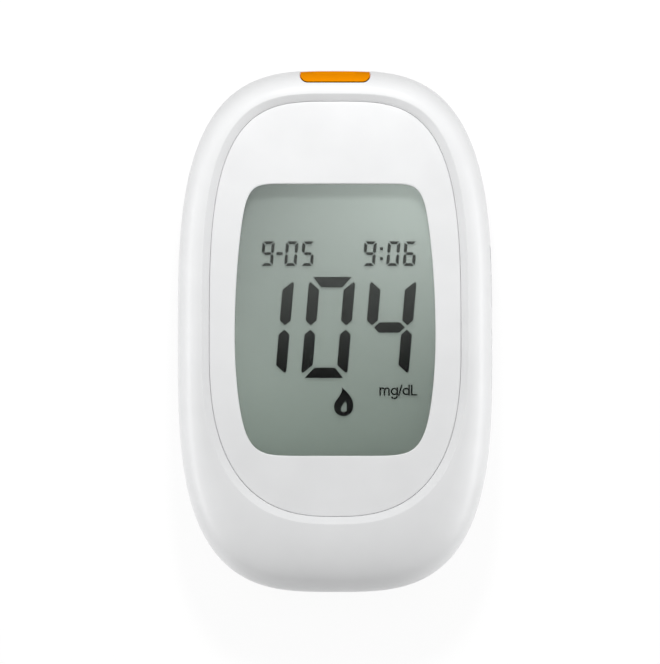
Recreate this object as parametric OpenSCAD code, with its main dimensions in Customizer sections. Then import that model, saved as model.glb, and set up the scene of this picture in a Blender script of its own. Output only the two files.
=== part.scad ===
// Blood glucose meter, lying on its back. Millimetres.
// +Z leaves the display, +Y points to the strip port, and the origin is under the middle of the back.

/* [Body] */
// Length of the housing
body_l = 95; // [92:0.5:125]
// Width of the housing at its widest row
body_w = 57.3; // [56:0.1:75]
// Thickness of the meter, back to rim
body_t = 22; // [22:0.1:28]
// Height of the widest row of the outline, from the middle
wide_y = -1.85; // [-4:0.05:2]
// Squareness of the outline, where 2 is an ellipse
body_power = 3.2; // [2.8:0.1:3.8]
// Wall of both shells
wall = 1.8; // [1.4:0.1:2.2]
// Height of the line where the shells meet
parting_z = 9; // [8:0.1:9.6]
// Width of the rounding round the back
back_round = 5.5; // [4:0.1:6]
// Height of the rounding round the front
front_round = 9; // [7:0.1:9.5]
// Squareness of both roundings
round_power = 2.5; // [2:0.1:3.2]
// Lean of the front shell's side wall
draft = 0.15; // [0:0.05:0.4]
// Height of the lip that lines up the shells
lip_h = 1; // [0.6:0.1:1.4]
// Thickness of that lip
lip_t = 0.8; // [0.6:0.1:1]
// Clearance between parts that only sit beside each other
gap = 0.1; // [0.05:0.01:0.15]

/* [Face plate] */
// Rim beside the plate, at the sides
rim_side = 5.72; // [5.4:0.02:8]
// Rim above the plate
rim_top = 5.62; // [5.2:0.02:8]
// Rim below the plate
rim_bottom = 13.74; // [11:0.02:18]
// Height of the plate's widest row, from the middle
plate_wide_y = -2.9; // [-6:0.05:2]
// Squareness of the plate's upper half
plate_power_top = 3.5; // [2.8:0.1:4]
// Squareness of the plate's lower half
plate_power_bottom = 2.6; // [2.3:0.1:3.4]
// Width of the bevel that leads down to the plate
bevel_w = 1.36; // [1:0.02:1.8]
// Drop of the bevel
bevel_drop = 1.2; // [0.8:0.1:1.6]
// Thickness of the plate at its edge
plate_t = 1.4; // [1.2:0.1:1.8]
// Rounding of the plate's edge
plate_edge = 0.4; // [0.2:0.05:0.6]
// Rise of the plate towards the window
plate_crown = 0.3; // [0:0.05:0.5]
// Shelf of the front shell under the plate
shelf_t = 1.2; // [1:0.1:1.6]
// Tape between plate and shelf
tape_t = 0.15; // [0.1:0.05:0.3]
// Tape's edge, in from the plate's edge
tape_inset = 0.8; // [0.4:0.1:1.5]

/* [Window] */
// Width of the window at its widest row
window_w = 36.6; // [30:0.1:37.5]
// Length of the window
window_l = 49.6; // [42:0.1:51]
// Plate above the window
window_below_edge = 15; // [14:0.1:20]
// Widest row, below the window's top
window_wide = 27.8; // [22:0.1:30]
// Radius of the sides above the widest row
side_r_top = 166; // [120:1:300]
// Radius of the sides below the widest row
side_r_bottom = 95; // [80:1:200]
// Squareness of the upper corners
window_power_top = 12.5; // [8:0.5:16]
// Squareness of the lower corners
window_power_bottom = 8; // [6:0.5:12]
// Flange of the pane, under the plate
pane_flange = 1.2; // [0.8:0.1:1.4]
// Thickness of that flange
pane_flange_t = 0.7; // [0.5:0.05:0.8]
// Clearance round the pane
pane_gap = 0.08; // [0.05:0.01:0.12]
// Pane's face below the plate's face
pane_sunk = 0.12; // [0.05:0.01:0.3]
// Clearance round the flange in the shelf
shelf_gap = 0.3; // [0.2:0.05:0.5]
// Width of the foam ring under the pane
gasket_w = 0.9; // [0.6:0.1:1.1]

/* [Display] */
// Glass beyond the window, at the sides and the top
glass_over = 0.9; // [0.6:0.1:1.2]
// Glass beyond the window, at the bottom
glass_under = 1.6; // [1:0.1:2]
// Ledge of the front glass that holds its contacts
glass_ledge = 2.8; // [2.4:0.1:3]
// Thickness of each glass
glass_t = 0.55; // [0.4:0.05:0.7]
// Room between the two glasses
cell_room = 0.1; // [0.06:0.02:0.2]
// Polarizer, and reflector film
film_t = 0.2; // [0.15:0.05:0.3]
// Wall of the tray round the glass
tray_wall = 1; // [0.8:0.1:1.1]
// Shelf of that tray under the glass
tray_shelf = 0.5; // [0.4:0.1:0.8]
// Room under the tray's shelf
tray_room = 1.2; // [1:0.1:1.6]
// Width of the rubber connector
zebra_w = 2; // [1.6:0.1:2.2]

/* [Readout] */
// Height of a large digit
digit_h = 18.4; // [14:0.1:19]
// Width of a large digit
digit_w = 8.44; // [6:0.02:9]
// Pitch of the large digits
digit_pitch = 11.15; // [9:0.05:12]
// Bar of a large digit
digit_bar = 2; // [1.4:0.1:2.4]
// Lean of every digit
slant = 0.086; // [0:0.002:0.12]
// Height of a small digit
small_h = 4.5; // [3.5:0.1:5]
// Width of a small digit
small_w = 2.25; // [1.8:0.05:2.4]
// Bar of a small digit
small_bar = 0.56; // [0.4:0.02:0.6]
// Pitch of the small digits
small_pitch = 3; // [2.6:0.05:3.2]
// Pitch across a dash or a colon
small_break = 4.3; // [4:0.05:5]
// Stroke of the unit's letters
letter_bar = 0.28; // [0.2:0.02:0.34]
// Height of a small letter of the unit
letter_h = 1.5; // [1.2:0.1:1.8]
// Radius of the drop sign
drop_r = 1.75; // [1.2:0.05:2.2]

/* [Circuit board] */
// Thickness of the board
board_t = 1; // [0.8:0.1:1.2]
// Board's side edges, in from the outline
board_side = 6.65; // [6.4:0.05:8]
// Board's shoulder, down from the top end
board_shoulder = 12.7; // [12:0.1:15]
// Board's lower edge, up from the bottom end
board_foot = 13.3; // [13:0.1:16]
// Width of the board's tongue under the strip socket
tongue_w = 17; // [16:0.1:22]
// Room between the tongue's end and the end wall
tongue_gap = 1.9; // [1.7:0.1:3.2]
// Rounding of the board's corners
board_corner = 3; // [1:0.1:4]
// Diameter of the sounder
buzzer_d = 8; // [6:0.1:8.4]
// Height of the sounder
buzzer_h = 2.2; // [1.6:0.1:3]

/* [Screws] */
// Upper screws, in from the sides of the outline
screw_side = 11.3; // [11:0.1:13]
// Upper screws, down from the top end
screw_top = 16; // [15.5:0.1:20]
// Lower screws, up from the plate's bottom
screw_bottom = 2.76; // [2.3:0.02:6]
// Lower screws, out from the plate's edge beside them
screw_beyond = 4.63; // [4.4:0.01:5]
// Diameter of a screw
screw_d = 2; // [1.6:0.1:2.2]
// Length of a screw under its head
screw_l = 12.5; // [11:0.5:13]
// Diameter of a screw's head
head_d = 3.8; // [3:0.1:4]
// Height of a screw's head
head_h = 1.4; // [1:0.1:1.8]
// Depth of the recess over a screw's head
recess_h = 3.2; // [2:0.1:4]
// Wall of a screw boss
boss_wall = 1.1; // [0.9:0.1:1.3]

/* [Battery bay] */
// Diameter of a cell
cell_d = 10.5; // [8:0.1:10.5]
// Length of a cell with its nub
cell_l = 44.5; // [40:0.1:45]
// Length of the nub
nub_l = 1; // [0.8:0.1:1.2]
// Diameter of the nub
nub_d = 3.8; // [3:0.1:4]
// Room between the two cells
cell_apart = 0.4; // [0.2:0.1:1]
// Room beside the cells
cell_side = 0.6; // [0.3:0.1:1]
// Length of a cell spring, pressed
cell_spring_l = 6.1; // [5:0.1:7]
// Cells above the back
cell_lift = 2; // [1.9:0.1:2.4]
// Wall of the bay
bay_wall = 1.2; // [1:0.1:1.5]
// Ceiling of the bay
bay_roof = 0.9; // [0.7:0.1:1]
// Bay's end, up from the bottom end
bay_end = 9.5; // [9:0.1:12]
// Sheet of the contacts
sheet_t = 0.4; // [0.3:0.05:0.5]
// Wire of the cell springs
cell_wire = 0.6; // [0.4:0.05:0.8]

/* [Battery cover] */
// Cover beyond the bay's walls
cover_over = 0.4; // [0.2:0.1:1]
// Thickness of the cover
cover_t = 1.5; // [1.3:0.1:1.5]
// Cover's face above the back
cover_sunk = 0.15; // [0.1:0.05:0.2]
// Gap round the cover
cover_gap = 0.15; // [0.1:0.05:0.3]
// Shelf that the cover meets, beyond the cover
cover_shelf = 1.4; // [1:0.1:2]
// Thickness of that shelf
cover_shelf_t = 1.2; // [1:0.1:1.5]
// Width of each hook
hook_w = 4; // [3:0.1:5]
// Reach of each hook under the shell
hook_reach = 1.2; // [0.8:0.1:1.4]
// Height of each hook above the cover
hook_h = 1.2; // [1:0.1:1.6]
// Distance between the hooks
hook_pitch = 14; // [10:0.5:16]
// Width of the latch tongue
latch_w = 6; // [4:0.1:8]
// Height of the latch tongue
latch_h = 5; // [3:0.1:6]

/* [Strip port] */
// Width of the port
port_w = 13; // [11:0.1:14]
// Depth of the port, seen from the front
port_depth = 2.2; // [2:0.05:2.6]
// Rounding of the port's corners
port_corner = 1.5; // [0.5:0.1:1.9]
// Port's face below the housing's face
port_sunk = 0.15; // [0.05:0.05:0.3]
// Width of the strip slot
slot_w = 7.6; // [6:0.1:8]
// Height of the strip slot
slot_h = 1.1; // [0.8:0.1:1.2]
// Width of the lead-in at the port's face
lead_w = 8.4; // [8.2:0.1:9]
// Height of the lead-in at the port's face
lead_h = 3.2; // [2:0.1:4]
// Depth of the lead-in
lead_depth = 1.1; // [0.6:0.1:1.4]
// Strip slot's floor above the board
slot_lift = 0.85; // [0.8:0.05:1]
// Width of the strip socket
socket_w = 12.4; // [11:0.1:13]
// Length of the strip socket
socket_l = 9.6; // [9:0.1:10]
// Height of the strip socket
socket_h = 3; // [2.6:0.1:3.2]

/* [Ejector] */
// Travel of the ejector
eject_travel = 4.5; // [3:0.1:4.5]
// Width of the thumb piece
thumb_w = 10.2; // [8:0.1:11]
// Length of the thumb piece
thumb_l = 8.6; // [7:0.1:9]
// Pocket's upper end, down from the top end
pocket_end = 8; // [7.8:0.1:10]
// Depth of the pocket
pocket_depth = 1.6; // [1.4:0.1:1.8]
// Floor of the pocket
pocket_floor = 1.4; // [1:0.1:1.6]
// Width of the neck through the pocket's floor
neck_w = 4.8; // [3:0.1:6]
// Length of that neck
neck_l = 4.9; // [4:0.1:5]
// Width of the carriage inside
carriage_w = 10; // [8:0.1:11]
// Thickness of the carriage
carriage_t = 1.2; // [1:0.1:1.5]
// Width of the post that meets the strip
post_w = 2.6; // [2:0.1:2.8]
// Thickness of that post
post_t = 1.6; // [1.2:0.1:1.8]
// Return spring, outside diameter
return_d = 3.8; // [3:0.1:4]
// Wire of the return spring
return_wire = 0.3; // [0.2:0.05:0.35]

/* [Keys] */
// Length of a side key
key_l = 11; // [8:0.1:12]
// Height of a side key
key_h = 4.2; // [3:0.1:4.4]
// Height of the upper key, from the middle
memory_y = 10; // [8:0.5:14]
// Height of the lower key, from the middle
set_y = -5; // [-12:0.5:-4]
// Gap round a key
key_gap = 0.12; // [0.1:0.01:0.2]
// Travel of a key
key_travel = 0.4; // [0.2:0.05:0.5]
// Key's face below the housing's face
key_sunk = 0.15; // [0.05:0.05:0.3]
// Flange that keeps a key in, beyond the key
key_flange = 0.7; // [0.4:0.1:0.9]
// Length of a switch along the board's edge
switch_l = 6; // [5:0.1:7]
// Depth of a switch
switch_w = 3.4; // [3:0.1:4]
// Height of a switch
switch_h = 3.4; // [3:0.1:3.5]

/* [Hidden] */

$fn = 48;
ring_n = 72;         // points round an outline
spread_power = 0.6;  // draws those points towards the corners
past = 0.5;          // a cut runs this far past a face, and a boss this far into one
back_steps = [0, 0.2, 0.4, 0.6, 0.8, 1];          // rings up the rounding round the back
front_steps = [0, 0.25, 0.45, 0.65, 0.82, 1];     // and round the front

top_y = body_l / 2;
bottom_y = -body_l / 2;
side_z = body_t - front_round;

// The plate, and the levels below it
plate_a = body_w / 2 - rim_side;
plate_top = top_y - rim_top;
plate_bottom = bottom_y + rim_bottom;
plate_z = body_t - bevel_drop;
plate_under = plate_z - plate_t;
shelf_z = plate_under - tape_t;
shelf_under = shelf_z - shelf_t;
recess_wall = gap + 1.4;           // wall round the plate's recess, beyond the plate
crown_share = 0.6;                 // share of the crown's rise reached at crown_place
crown_place = 0.35;                // share of the way from the plate's edge to the window

// The window
window_top = plate_top - window_below_edge;
window_bottom = window_top - window_l;
window_y = window_top - window_wide;
window_mid = (window_top + window_bottom) / 2;
shelf_hole = pane_flange + shelf_gap;

// The display, from its face down
film_z = shelf_under - film_t - gap / 2;
front_glass_z = film_z - glass_t;
segment_z = front_glass_z - cell_room;
rear_glass_z = segment_z - glass_t;
reflector_z = rear_glass_z - film_t;
glass_a = window_w / 2 + glass_over;
glass_top = window_top + glass_over;
glass_bottom = window_bottom - glass_under;
ledge_bottom = glass_bottom - glass_ledge;
tray_ledge = 1.2;                  // the tray's ledge under the edges of the glass
film_in = 0.5;                     // films' edges, in from the glass's edges
readout_x = -1.26;                 // middle digit, from the meter's middle
readout_y = window_mid - 1.4;
small_y = readout_y + 13.45;       // date and time
date_x = readout_x - 11.02;
time_x = readout_x + 7.56;
unit_x = readout_x + 9.46;         // the unit's left end, and its baseline
unit_y = readout_y - 12.4;
drop_x = readout_x + 2.8;
drop_y = readout_y - 14.4;

// The screws' holes and bosses
shank_hole = screw_d + 0.3;        // through the rear shell
board_hole = screw_d + 0.4;
thread_hole = screw_d + 0.06;      // in the front shell
head_hole = head_d + 2 * gap;
head_floor = 1;                    // under a screw's head

// The board
board_top = reflector_z - tray_shelf - tray_room;
board_z = board_top - board_t;
board_a = body_w / 2 - board_side;
board_y1 = top_y - board_shoulder;
board_y0 = bottom_y + board_foot;
tongue_y = top_y - wall - tongue_gap;

// The bay
cell_x = (cell_d + cell_apart) / 2;
cell_z = cell_lift + cell_d / 2;
bay_a = cell_x + cell_d / 2 + cell_side;
bay_y0 = bottom_y + bay_end;
bay_l = cell_l + cell_spring_l + sheet_t * 2 + gap * 4;
bay_y1 = bay_y0 + bay_l;
bay_top = cell_lift + cell_d + gap;
tail_a = 0.9;                      // half the width of a contact's tail
tail_gap = 0.3;                    // round a tail
sheet_a = 3.9;                     // half the width of a contact's sheet
sheet_lift = 1.4;                  // a sheet's lower edge, above the cover's seat

// The cover
cover_a = bay_a + bay_wall + cover_over;
cover_y0 = bay_y0 - bay_wall - cover_over - hook_reach;
cover_y1 = bay_y1 + bay_wall + hook_reach;
cover_z = cover_sunk + cover_t;
cover_seat = cover_z + gap;
hook_side = 0.2;                   // room beside a hook, and below its lip
hook_swing = 0.5;                  // room that a hook turns in
latch_side = 0.3;                  // room beside the latch tongue
latch_t = 0.9;

// The strip slot and the ejector
slot_z = board_top + slot_lift;
port_y = top_y - port_depth;
port_inner = tongue_y + 0.3;
port_flange = 1.5;                 // flange that keeps the port in, beyond its sides
port_flange_t = 0.7;
throat_z = slot_z + slot_h + 0.8;
socket_y1 = tongue_y + gap;
socket_y0 = socket_y1 - socket_l;
channel_y0 = socket_y0 + 1;
contact_l = 6;
contact_w = 0.44;
contact_t = 0.18;
contact_gap = 0.2;
contact_x = 2.4;                   // middle of each pair of contacts
contact_pitch = 1.1;
end_gap = 0.3;                     // room past each end of the ejector's travel
post_gap = 0.4;                    // room round the post
post_y = channel_y0 + post_gap;
pocket_y1 = top_y - pocket_end;
thumb_y1 = pocket_y1 - end_gap - eject_travel;
thumb_y0 = thumb_y1 - thumb_l;
pocket_y0 = thumb_y0 - end_gap;
pocket_top = pocket_depth + pocket_floor;
pocket_wall = 1.6;                 // seat round the pocket
carriage_z = pocket_top + gap;
neck_y = thumb_y1 - thumb_l / 2;
rail_x = carriage_w / 2 + 0.15;
rail_z = carriage_z + carriage_t + 0.2;
rail_w = 1.1;
rail_over = 0.9;                   // reach of a rail's lip over the carriage
rail_t = 0.6;
spring_z = carriage_z + carriage_t + return_d / 2 + 1;
spring_stop = tongue_y - gap;
spring_stop_a = 2;                 // half the width of the spring's stop
spring_stop_t = 1.2;
pin_d = return_d - 2 * return_wire - 0.6;
pin_l = 0.6;

// The keys
key_z = board_z - 1.55;
key_face = body_w / 2 - draft - key_sunk;
key_flange_t = 0.6;
key_slack = 0.7;                   // flange's face inside the wall, which curves away from it
key_back = body_w / 2 - draft - wall - key_slack - key_flange_t;
switch_out = 0.3;                  // a switch's face beyond the board's edge
plunger_w = 2.8;
plunger_h = 1.6;
plunger_gap = 0.1;
plunger_pocket = board_a + switch_out - 1.4;
plunger_end = board_a + switch_out + 1.1;

white = [0.94, 0.945, 0.95];
orange = [0.98, 0.6, 0.05];
steel = [0.75, 0.76, 0.78];
black = [0.12, 0.12, 0.13];
clear = [0.75, 0.85, 0.8, 0.4];

// ---------------------------------------------------------------- outlines

// Direction i round an outline, counted from +X
function spread(i) =
    let (t = 360 * i / ring_n, c = cos(t), s = sin(t))
    [sign(c) * pow(abs(c), spread_power), sign(s) * pow(abs(s), spread_power)];

// Point i of a rounded outline of half width a, widest at y0
function oval(i, a, top, bottom, y0, power_top, power_bottom) =
    let (
        d = spread(i),
        p = d.y >= 0 ? power_top : power_bottom,
        b = d.y >= 0 ? top - y0 : y0 - bottom,
        r = pow(pow(abs(d.x), p) + pow(abs(d.y), p), -1 / p)
    )
    [a * d.x * r, y0 + b * d.y * r];

// The housing's outline, drawn in by s
function body_pt(i, s) =
    oval(i, body_w / 2 - s, top_y - s, bottom_y + s, wide_y, body_power, body_power);

// The plate's outline, grown by s
function plate_pt(i, s) =
    oval(i, plate_a + s, plate_top + s, plate_bottom - s, plate_wide_y,
        plate_power_top, plate_power_bottom);

// The window's outline, grown by s: its sides bow out to the widest row
function window_pt(i, s) =
    let (
        p = oval(i, 1, window_top + s, window_bottom - s, window_y,
            window_power_top, window_power_bottom),
        r = p.y >= window_y ? side_r_top : side_r_bottom
    )
    [p.x * (window_w / 2 + s - pow(p.y - window_y, 2) / (2 * r)), p.y];

// A list from its end to its start
function backwards(list) = [for (k = [len(list) - 1:-1:0]) list[k]];

// A ring of points at height z, from a list of flat points
function at_z(points, z) = [for (p = points) [p.x, p.y, z]];
function body_ring(s, z) = at_z([for (i = [0:ring_n - 1]) body_pt(i, s)], z);
function plate_ring(s, z) = at_z([for (i = [0:ring_n - 1]) plate_pt(i, s)], z);
function window_ring(s, z) = at_z([for (i = [0:ring_n - 1]) window_pt(i, s)], z);

// Rings of the rounded back edge, wall s inside the surface, from z0 up to the parting line
function back_rings(s, z0, steps) = [for (k = steps)
    let (a = 90 * k)
    body_ring(s + back_round * (1 - pow(sin(a), 2 / round_power)),
        z0 + (parting_z - z0) * (1 - pow(cos(a), 2 / round_power)))];

// Rings of the rounded front edge, from the side wall up to the plate's outline grown by s1
function front_rings(s0, s1, z1, steps) = [for (k = steps)
    let (a = 90 * k, h = 1 - pow(cos(a), 2 / round_power), v = pow(sin(a), 2 / round_power))
    at_z([for (i = [0:ring_n - 1]) body_pt(i, s0) * (1 - h) + plate_pt(i, s1) * h],
        side_z + (z1 - side_z) * v)];

// A solid through rings of points. A closed one joins its last ring to its first.
module loft(rings, closed = false) {
    n = len(rings[0]);
    m = len(rings);
    sides = [for (j = [0:closed ? m - 1 : m - 2], i = [0:n - 1])
        let (u = (j + 1) % m, k = (i + 1) % n)
        each [[j * n + i, u * n + i, u * n + k], [j * n + i, u * n + k, j * n + k]]];
    caps = closed ? [] : [[for (i = [0:n - 1]) i], [for (i = [n - 1:-1:0]) (m - 1) * n + i]];
    polyhedron([for (r = rings) each r], concat(sides, caps));
}

// A box from corner to corner
module block(x0, x1, y0, y1, z0, z1) {
    translate([x0, y0, z0]) cube([x1 - x0, y1 - y0, z1 - z0]);
}

// A rod of diameter d along Z, from z0 to z1
module rod(x, y, z0, z1, d) {
    translate([x, y, z0]) cylinder(d = d, h = z1 - z0);
}

// A wire coil along Z, from diameter d0 to d1, as a tube of six sides
module coil(d0, d1, l, wire, turns) {
    per_turn = 16;
    sides = 6;
    steps = turns * per_turn;
    rings = [for (j = [0:steps])
        let (a = 360 * j / per_turn, r = (d0 + (d1 - d0) * j / steps) / 2 - wire / 2,
            z = wire / 2 + (l - wire) * j / steps)
        [for (i = [0:sides - 1])
            let (b = 360 * i / sides, q = r + wire / 2 * cos(b))
            [q * cos(a), q * sin(a), z + wire / 2 * sin(b)]]];
    n = sides;
    faces = [for (j = [0:steps - 1], i = [0:n - 1])
        let (k = (i + 1) % n, u = j + 1)
        each [[j * n + i, u * n + k, u * n + i], [j * n + i, j * n + k, u * n + k]]];
    caps = [[for (i = [n - 1:-1:0]) i], [for (i = [0:n - 1]) steps * n + i]];
    polyhedron([for (r = rings) each r], concat(faces, caps));
}

// Half the plate's width at height y, in its lower half
function plate_x(y) =
    let (t = (plate_wide_y - y) / (plate_wide_y - plate_bottom))
    plate_a * pow(1 - pow(t, plate_power_bottom), 1 / plate_power_bottom);

// The four screws, as places
module each_screw() {
    low_y = plate_bottom + screw_bottom;
    for (s = [-1, 1]) {
        translate([s * (body_w / 2 - screw_side), top_y - screw_top, 0]) children();
        translate([s * (plate_x(low_y) + screw_beyond), low_y, 0]) children();
    }
}

// ---------------------------------------------------------------- shells

module rear_housing() {
    color(white) difference() {
        union() {
            difference() {
                loft(concat(
                    back_rings(0, 0, back_steps),
                    [body_ring(wall - lip_t, parting_z), body_ring(wall - lip_t, parting_z + lip_h),
                        body_ring(wall, parting_z + lip_h)],
                    back_rings(wall, wall, backwards(back_steps))));
                cover_opening();
            }
            bay();
            ejector_seat();
            each_screw() {
                cylinder(d = head_hole + 2 * boss_wall, h = recess_h + head_h + head_floor);
                cylinder(d = shank_hole + 2 * boss_wall, h = board_z);
            }
        }
        hook_pockets();
        block(-port_w / 2, port_w / 2, port_y - 2 * past, top_y + past, parting_z, parting_z + lip_h + past);
        each_screw() {
            translate([0, 0, -past]) cylinder(d = head_hole, h = recess_h + head_h + past);
            cylinder(d = shank_hole, h = board_z + past);
        }
        block(-thumb_w / 2 - cover_gap, thumb_w / 2 + cover_gap, pocket_y0, pocket_y1, -past, pocket_depth);
        block(-neck_w / 2 - cover_gap, neck_w / 2 + cover_gap, neck_y - neck_l / 2 - end_gap,
            neck_y + neck_l / 2 + eject_travel + end_gap, -past, pocket_top + past);
    }
}

// The opening that the cover closes
module cover_opening() {
    block(-cover_a - cover_gap, cover_a + cover_gap, cover_y0 - cover_gap, cover_y1 + cover_gap, -past,
        max(cover_seat, wall) + past);
}

// The room that the cover's hooks turn in
module hook_pockets() {
    room_a = hook_w / 2 + hook_side;
    room_z = cover_seat + hook_h + hook_swing;
    for (x = [-1, 1] * hook_pitch / 2) {
        block(x - room_a, x + room_a, cover_y0 - cover_gap, bay_y0 + past, cover_seat - past, room_z);
        block(x - room_a, x + room_a, cover_y0 - hook_reach - hook_side, cover_y0, cover_seat + gap / 2,
            room_z);
    }
}

// The battery bay's walls, roof and cover shelf, with a slot for the cover's latch
module bay() {
    shelf_a = cover_a + cover_shelf;
    shelf_y0 = cover_y0 - cover_shelf;
    shelf_y1 = cover_y1 + cover_shelf;
    latch_a = latch_w / 2 + latch_side;
    difference() {
        union() {
            block(-bay_a - bay_wall, bay_a + bay_wall, bay_y0 - bay_wall, bay_y1 + bay_wall, cover_seat,
                bay_top + bay_roof);
            block(-shelf_a, shelf_a, shelf_y0, shelf_y1, cover_seat, cover_seat + cover_shelf_t);
            for (s = [0, 1]) mirror([s, 0, 0])
                block(cover_a + cover_gap, shelf_a, shelf_y0, shelf_y1, wall / 2, cover_seat);
        }
        block(-bay_a, bay_a, bay_y0, bay_y1, cover_seat - past, bay_top);
        block(-latch_a, latch_a, bay_y1 - past, bay_y1 + bay_wall + latch_side, cover_seat - past,
            cover_z + latch_h + 2 * past);
        for (x = [-1, 1] * cell_x) tail_way(x, bay_top - past, bay_top + bay_roof + past);
    }
}

// The room of a contact's tail, from z0 to z1
module tail_way(x, z0, z1) {
    block(x - tail_a - tail_gap, x + tail_a + tail_gap, bay_y1 - sheet_t - 2 * gap, bay_y1 + gap, z0, z1);
}

// The raised floor of the ejector's pocket, its rails and the stop of its spring
module ejector_seat() {
    seat_a = thumb_w / 2 + cover_gap + pocket_wall;
    seat_y0 = pocket_y0 - pocket_wall;
    seat_y1 = pocket_y1 + pocket_wall;
    block(-seat_a, seat_a, seat_y0, seat_y1, wall / 2, pocket_top);
    for (s = [0, 1]) mirror([s, 0, 0]) {
        block(rail_x, rail_x + rail_w, seat_y0 + past, seat_y1, pocket_top - past, rail_z + rail_t);
        block(rail_x - rail_over, rail_x + gap, seat_y0 + past, seat_y1, rail_z, rail_z + rail_t);
    }
    block(-spring_stop_a, spring_stop_a, spring_stop, spring_stop + spring_stop_t, wall / 2,
        spring_z + return_d / 2 + past);
    translate([0, spring_stop + gap, spring_z]) rotate([90, 0, 0]) cylinder(d = pin_d, h = pin_l);
}

module front_housing() {
    lip_z = parting_z + lip_h + gap;
    color(white) difference() {
        union() {
            loft(concat(
                [body_ring(0, parting_z)],
                front_rings(draft, gap + bevel_w, body_t, front_steps),
                [plate_ring(gap, plate_z), plate_ring(gap, shelf_z),
                    window_ring(shelf_hole, shelf_z), window_ring(shelf_hole, shelf_under),
                    plate_ring(recess_wall, shelf_under)],
                front_rings(draft + wall, recess_wall, body_t - wall, backwards(front_steps)),
                [body_ring(wall, lip_z), body_ring(wall - lip_t - gap, lip_z),
                    body_ring(wall - lip_t - gap, parting_z)]), closed = true);
            each_screw() rod(0, 0, board_top, shelf_under + past, screw_d + 2 * boss_wall);
        }
        each_screw() rod(0, 0, board_top - past, recess_h + head_h + screw_l + past, thread_hole);
        port_shape(0);
        port_throat(0);
        for (y = [memory_y, set_y]) key_shape(y, body_w / 2 - 3 * wall, body_w / 2 + past, key_gap);
    }
}

// The notch for the strip port, seen from the front, drawn in by s
module port_shape(s) {
    r = port_corner - s;
    translate([0, 0, parting_z - past]) linear_extrude(body_t) hull() {
        for (x = [-1, 1] * (port_w / 2 - port_corner))
            translate([x, port_y + port_corner]) circle(r = r, $fn = 32);
        translate([s - port_w / 2, top_y]) square([port_w - 2 * s, past]);
    }
}

// The port's inner end, behind the notch, drawn in by s
module port_throat(s) {
    block(s - port_w / 2, port_w / 2 - s, port_inner, port_y + port_corner, parting_z + lip_h + s,
        throat_z - s);
}

// A key's head along X, grown by s
module key_shape(y, x0, x1, s) {
    flat_a = (key_l - key_h) / 2;
    for (e = [-flat_a, flat_a]) translate([x0, y + e, key_z]) rotate([0, 90, 0])
        cylinder(d = key_h + 2 * s, h = x1 - x0);
    block(x0, x1, y - flat_a, y + flat_a, key_z - key_h / 2 - s, key_z + key_h / 2 + s);
}

module face_plate() {
    color(white) loft([
        plate_ring(0, plate_under),
        plate_ring(0, plate_z - plate_edge),
        plate_ring(-plate_edge, plate_z),
        between_ring(crown_place, plate_z + plate_crown * crown_share),
        window_ring(0, plate_z + plate_crown),
        window_ring(0, plate_under)], closed = true);
}

// A ring part of the way from the plate's edge to the window
function between_ring(k, z) =
    at_z([for (i = [0:ring_n - 1]) plate_pt(i, 0) * (1 - k) + window_pt(i, 0) * k], z);

module plate_adhesive() {
    color([0.85, 0.85, 0.8]) translate([0, 0, shelf_z]) linear_extrude(tape_t) difference() {
        plate_shape(-tape_inset);
        window_shape(shelf_hole);
    }
}

// The plate's and the window's outline, grown by s
module plate_shape(s) {
    polygon([for (i = [0:ring_n - 1]) plate_pt(i, s)]);
}
module window_shape(s) {
    polygon([for (i = [0:ring_n - 1]) window_pt(i, s)]);
}

module display_window() {
    flange_z = plate_under - pane_flange_t;
    color([0.8, 0.85, 0.85, 0.4]) translate([0, 0, flange_z]) {
        linear_extrude(plate_z + plate_crown - pane_sunk - flange_z) window_shape(-pane_gap);
        linear_extrude(pane_flange_t) window_shape(pane_flange);
    }
}

module window_gasket() {
    z0 = film_z + film_t;
    inner = 2 * gap;
    color(black) translate([0, 0, z0]) linear_extrude(plate_under - pane_flange_t - z0) difference() {
        window_shape(inner + gasket_w);
        window_shape(inner);
    }
}

module strip_port() {
    mouth_y = top_y - port_sunk;
    color(orange) difference() {
        union() {
            intersection() {
                loft(concat([body_ring(port_sunk, parting_z + gap)],
                    front_rings(draft + port_sunk, gap + bevel_w, body_t - port_sunk, front_steps)));
                port_shape(gap);
            }
            port_throat(gap);
            block(-port_w / 2 - port_flange, port_w / 2 + port_flange, port_inner, port_inner + port_flange_t,
                parting_z + lip_h + 3 * gap, throat_z - gap);
        }
        block(-slot_w / 2, slot_w / 2, tongue_y - past, top_y + past, slot_z, slot_z + slot_h);
        hull() {
            block(-lead_w / 2, lead_w / 2, mouth_y, mouth_y + past, slot_z + (slot_h - lead_h) / 2,
                slot_z + (slot_h + lead_h) / 2);
            block(-slot_w / 2, slot_w / 2, mouth_y - lead_depth, mouth_y, slot_z, slot_z + slot_h);
        }
    }
}

// ---------------------------------------------------------------- display

module lcd_polarizer() {
    color([0.6, 0.65, 0.62, 0.5]) film(film_z);
}

module lcd_front_glass() {
    color(clear) block(-glass_a, glass_a, ledge_bottom, glass_top, front_glass_z, front_glass_z + glass_t);
}

module lcd_rear_glass() {
    color(clear) block(-glass_a, glass_a, glass_bottom, glass_top, rear_glass_z, rear_glass_z + glass_t);
}

module lcd_reflector() {
    color([0.6, 0.65, 0.6]) film(reflector_z);
}

// A film over the glass
module film(z) {
    block(film_in - glass_a, glass_a - film_in, glass_bottom + film_in, glass_top - film_in, z, z + film_t);
}

// Points of a segment, flipped by sx and sy, leaned and placed
function placed(points, at, sx, sy) =
    [for (p = points) [at.x + sx * p.x + slant * sy * p.y, at.y + sy * p.y]];

// Whether letter c is in word
function has(word, c) = len(search(c, word)) > 0;

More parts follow.
